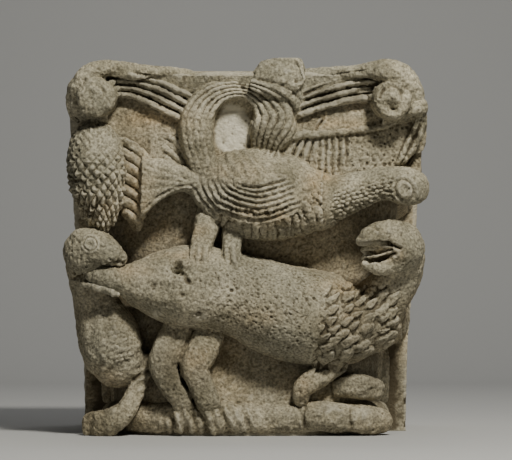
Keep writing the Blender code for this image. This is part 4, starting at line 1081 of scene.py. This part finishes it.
def limestone():
    """Noises of several sizes mix the stone's colours, and the attributes darken or lighten the result."""
    material = bpy.data.materials.new("weathered_limestone")
    material.use_nodes = True
    tree = material.node_tree
    nodes, link = tree.nodes, tree.links.new
    shader = nodes["Principled BSDF"]
    shader.inputs["Roughness"].default_value = 0.95
    shader.inputs["Specular IOR Level"].default_value = 0.2
    place = nodes.new("ShaderNodeTexCoord").outputs["Object"]

    def put(socket, value):
        """A number or colour is set on the socket, and an output is linked to it."""
        if isinstance(value, (int, float)):
            socket.default_value = value
        elif isinstance(value, tuple):
            socket.default_value = (*value, 1)
        else:
            link(value, socket)

    def noise_at(scale, detail=4.0, distortion=0.0):
        """Noise in the block's own coordinates: about `scale` blobs to a metre."""
        node = nodes.new("ShaderNodeTexNoise")
        node.inputs["Scale"].default_value = scale
        node.inputs["Detail"].default_value = detail
        node.inputs["Distortion"].default_value = distortion
        link(place, node.inputs["Vector"])
        return node.outputs["Fac"]

    def ramp(value, *stops):
        """Colours at given values, blended between."""
        node = nodes.new("ShaderNodeValToRGB")
        while len(node.color_ramp.elements) < len(stops):
            node.color_ramp.elements.new(0.5)
        for element, (at, colour) in zip(node.color_ramp.elements, stops):
            element.position = at
            element.color = (*colour, 1)
        link(value, node.inputs["Fac"])
        return node.outputs["Color"]

    def between_values(value, low, high, to_low=0.0, to_high=1.0):
        """The share of the way from low to high, kept within them, stretched to the second pair."""
        node = nodes.new("ShaderNodeMapRange")
        for name, given in (("Value", value), ("From Min", low), ("From Max", high),
                            ("To Min", to_low), ("To Max", to_high)):
            put(node.inputs[name], given)
        return node.outputs["Result"]

    def mix(share, first, second, blend="MIX"):
        """The first colour with a share of the second laid over it."""
        node = nodes.new("ShaderNodeMix")
        node.data_type = "RGBA"
        node.blend_type = blend
        for name, value in (("Factor", share), ("A", first), ("B", second)):
            put(next(s for s in node.inputs if s.name == name and s.enabled), value)
        return next(s for s in node.outputs if s.enabled)

    def times(a, b):
        """The product of two values."""
        node = nodes.new("ShaderNodeMath")
        node.operation = "MULTIPLY"
        put(node.inputs[0], a)
        put(node.inputs[1], b)
        return node.outputs["Value"]

    def attribute(name):
        """A value that was measured for each vertex."""
        node = nodes.new("ShaderNodeAttribute")
        node.attribute_name = name
        return node.outputs["Fac"]

    split = nodes.new("ShaderNodeSeparateXYZ")
    link(place, split.inputs["Vector"])
    sheltered = between_values(split.outputs["Y"], -0.142, -0.112)
    grey = ramp(noise_at(26, 5), (0.36, (0.190, 0.172, 0.118)), (0.52, (0.275, 0.250, 0.178)),
                (0.68, (0.375, 0.343, 0.255)))
    tan = ramp(noise_at(34, 5), (0.36, (0.235, 0.190, 0.115)), (0.55, (0.345, 0.288, 0.188)),
               (0.7, (0.450, 0.388, 0.270)))
    colour = mix(times(sheltered, 0.7), grey, tan)
    cool = between_values(noise_at(9, 4, 0.4), 0.48, 0.64)
    colour = mix(times(cool, 0.45), colour, COOL_GREY)
    ochre = times(attribute("ochre"), between_values(noise_at(60, 5), 0.35, 0.6, 0.45, 1.0))
    colour = mix(times(ochre, 0.75), colour, IRON_OCHRE)
    speckle = ramp(noise_at(420, 4), (0.32, (0.58, 0.56, 0.52)), (0.50, (1, 1, 1)), (0.68, (1.45, 1.43, 1.38)))
    colour = mix(1.0, colour, speckle, "MULTIPLY")
    mottle = ramp(noise_at(120, 5), (0.36, (0.86, 0.855, 0.84)), (0.50, (1, 1, 1)), (0.64, (1.12, 1.115, 1.10)))
    colour = mix(1.0, colour, mottle, "MULTIPLY")
    pale = times(attribute("pale"), between_values(noise_at(90, 4), 0.3, 0.5, 0.6, 1.0))
    colour = mix(times(pale, 0.85), colour, PALE_MORTAR)
    # Ridges lighten: rubbed wear with a painted highlight.
    edge = between_values(attribute("hollow_fine"), -0.06, -0.45)
    colour = mix(times(edge, 0.42), colour, WORN_EDGE_AND_HIGHLIGHT)
    # Cuts and broad hollows darken: painted shade with the dirt that gathers there.
    cut = between_values(attribute("hollow_fine"), 0.05, 0.50)
    colour = mix(times(cut, 0.80), colour, SHADE_AND_DIRT_IN_CUTS)
    deep = between_values(attribute("hollow_broad"), 0.4, 2.4)
    colour = mix(times(deep, 0.60), colour, SHADE_AND_DIRT_IN_HOLLOWS)
    # Places well below their surroundings darken: painted shade with some dirt.
    sunken = between_values(attribute("sunken"), 8.0, 40.0)
    colour = mix(times(sunken, 0.60), colour, SHADE_AND_DIRT_IN_RECESSES)
    # Painted shade: the spots where the front lies in shadow are darkened.
    painted_shade = between_values(attribute("painted_shade"), 0.1, 1.0)
    colour = mix(times(painted_shade, 0.72), colour, PAINTED_SHADE_COLOUR)
    link(colour, shader.inputs["Base Color"])

    grain = nodes.new("ShaderNodeBump")
    grain.inputs["Strength"].default_value = 0.9
    grain.inputs["Distance"].default_value = 0.0022
    link(noise_at(300, 6), grain.inputs["Height"])
    link(grain.outputs["Normal"], shader.inputs["Normal"])
    return material


stone = limestone()
for piece in PIECES:
    piece.data.materials.clear()
    piece.data.materials.append(stone)
    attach(piece, "root")
    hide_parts("capital")
print("pieces:", len(PIECES), "triangles:", sum(triangles(p.data) for p in PIECES))

# %% [markdown]
# The studio's floor is pale and sweeps up behind, so that no edge shows where floor and backdrop meet.

# %% Floor
def sweep():
    """A floor that curves up into a backdrop: a profile of depth and height carried across."""
    t = np.linspace(0, np.pi / 2, 24)
    depth = np.concatenate([[-3.2], 1.6 + 0.8 * np.sin(t), [2.4]])
    height = np.concatenate([[0.0], 0.8 - 0.8 * np.cos(t), [3.4]])
    across = np.array([-4.0, 4.0])
    grid = np.stack([np.repeat(across[None], len(depth), 0), np.repeat(depth[:, None], 2, 1),
                     np.repeat(height[:, None], 2, 1)], -1)
    i = np.arange(len(depth) - 1) * 2
    return grid.reshape(-1, 3), np.stack([i, i + 1, i + 3, i + 2], -1)


floor_vertices, floor_quads = sweep()
floor_mesh = bpy.data.meshes.new("floor")
floor_mesh.from_pydata(floor_vertices.tolist(), [], floor_quads.tolist())
floor_mesh.shade_smooth()
floor = placed("floor", floor_mesh)
pale_floor = bpy.data.materials.new("pale_floor")
pale_floor.use_nodes = True
pale_floor.node_tree.nodes["Principled BSDF"].inputs["Base Color"].default_value = (0.43, 0.43, 0.42, 1)
pale_floor.node_tree.nodes["Principled BSDF"].inputs["Roughness"].default_value = 0.8
floor.data.materials.append(pale_floor)


# %% [markdown]
# One soft light stands high up at the right and rakes over the relief, a weak fill opens the shadows, and a
# third lights the backdrop. The camera stands where the eye of the layout is, and its lens takes in the
# picture's width at the drawn plane.

# %% Lights and camera
def area_light(name, place, aim, size, watts, colour):
    """A square soft light at a place in metres, turned to its aim."""
    light = bpy.data.lights.new(name, "AREA")
    light.shape = "SQUARE"
    light.size, light.energy, light.color = size, watts, colour
    obj = placed(name, light)
    obj.location = place
    obj.rotation_euler = (Vector(aim) - Vector(place)).to_track_quat("-Z", "Y").to_euler()


AIM = (0.0, -0.05, 0.19)
area_light("key", (0.50, -1.35, 1.62), AIM, 0.30, 50, (1.0, 0.975, 0.90))
area_light("fill", (-1.6, -2.4, 1.0), AIM, 1.6, 1.6, (0.94, 0.97, 1.0))
area_light("backdrop", (0.0, 0.9, 2.2), (0.0, 2.0, 0.6), 1.2, 14, (1.0, 1.0, 1.0))

world = bpy.data.worlds.new("studio")
world.use_nodes = True
world.node_tree.nodes["Background"].inputs["Color"].default_value = (0.8, 0.82, 0.85, 1)
world.node_tree.nodes["Background"].inputs["Strength"].default_value = 0.02
bpy.context.scene.world = world

camera = placed("camera", bpy.data.cameras.new("camera"))
middle_x = (PICTURE_WIDTH / 2 - PICTURE_AXIS_X) * MM
middle_z = (PICTURE_GROUND_Y - PICTURE_HEIGHT / 2) * MM
camera.location = (middle_x, -(EYE_DISTANCE + DRAWN_PLANE) * MM, EYE_HEIGHT * MM)
camera.rotation_euler = (math.pi / 2 + math.atan2(middle_z - EYE_HEIGHT * MM, EYE_DISTANCE * MM), 0, 0)
camera.data.sensor_width = 36.0
camera.data.lens = camera.data.sensor_width * EYE_DISTANCE / PICTURE_WIDTH
bpy.context.scene.camera = camera
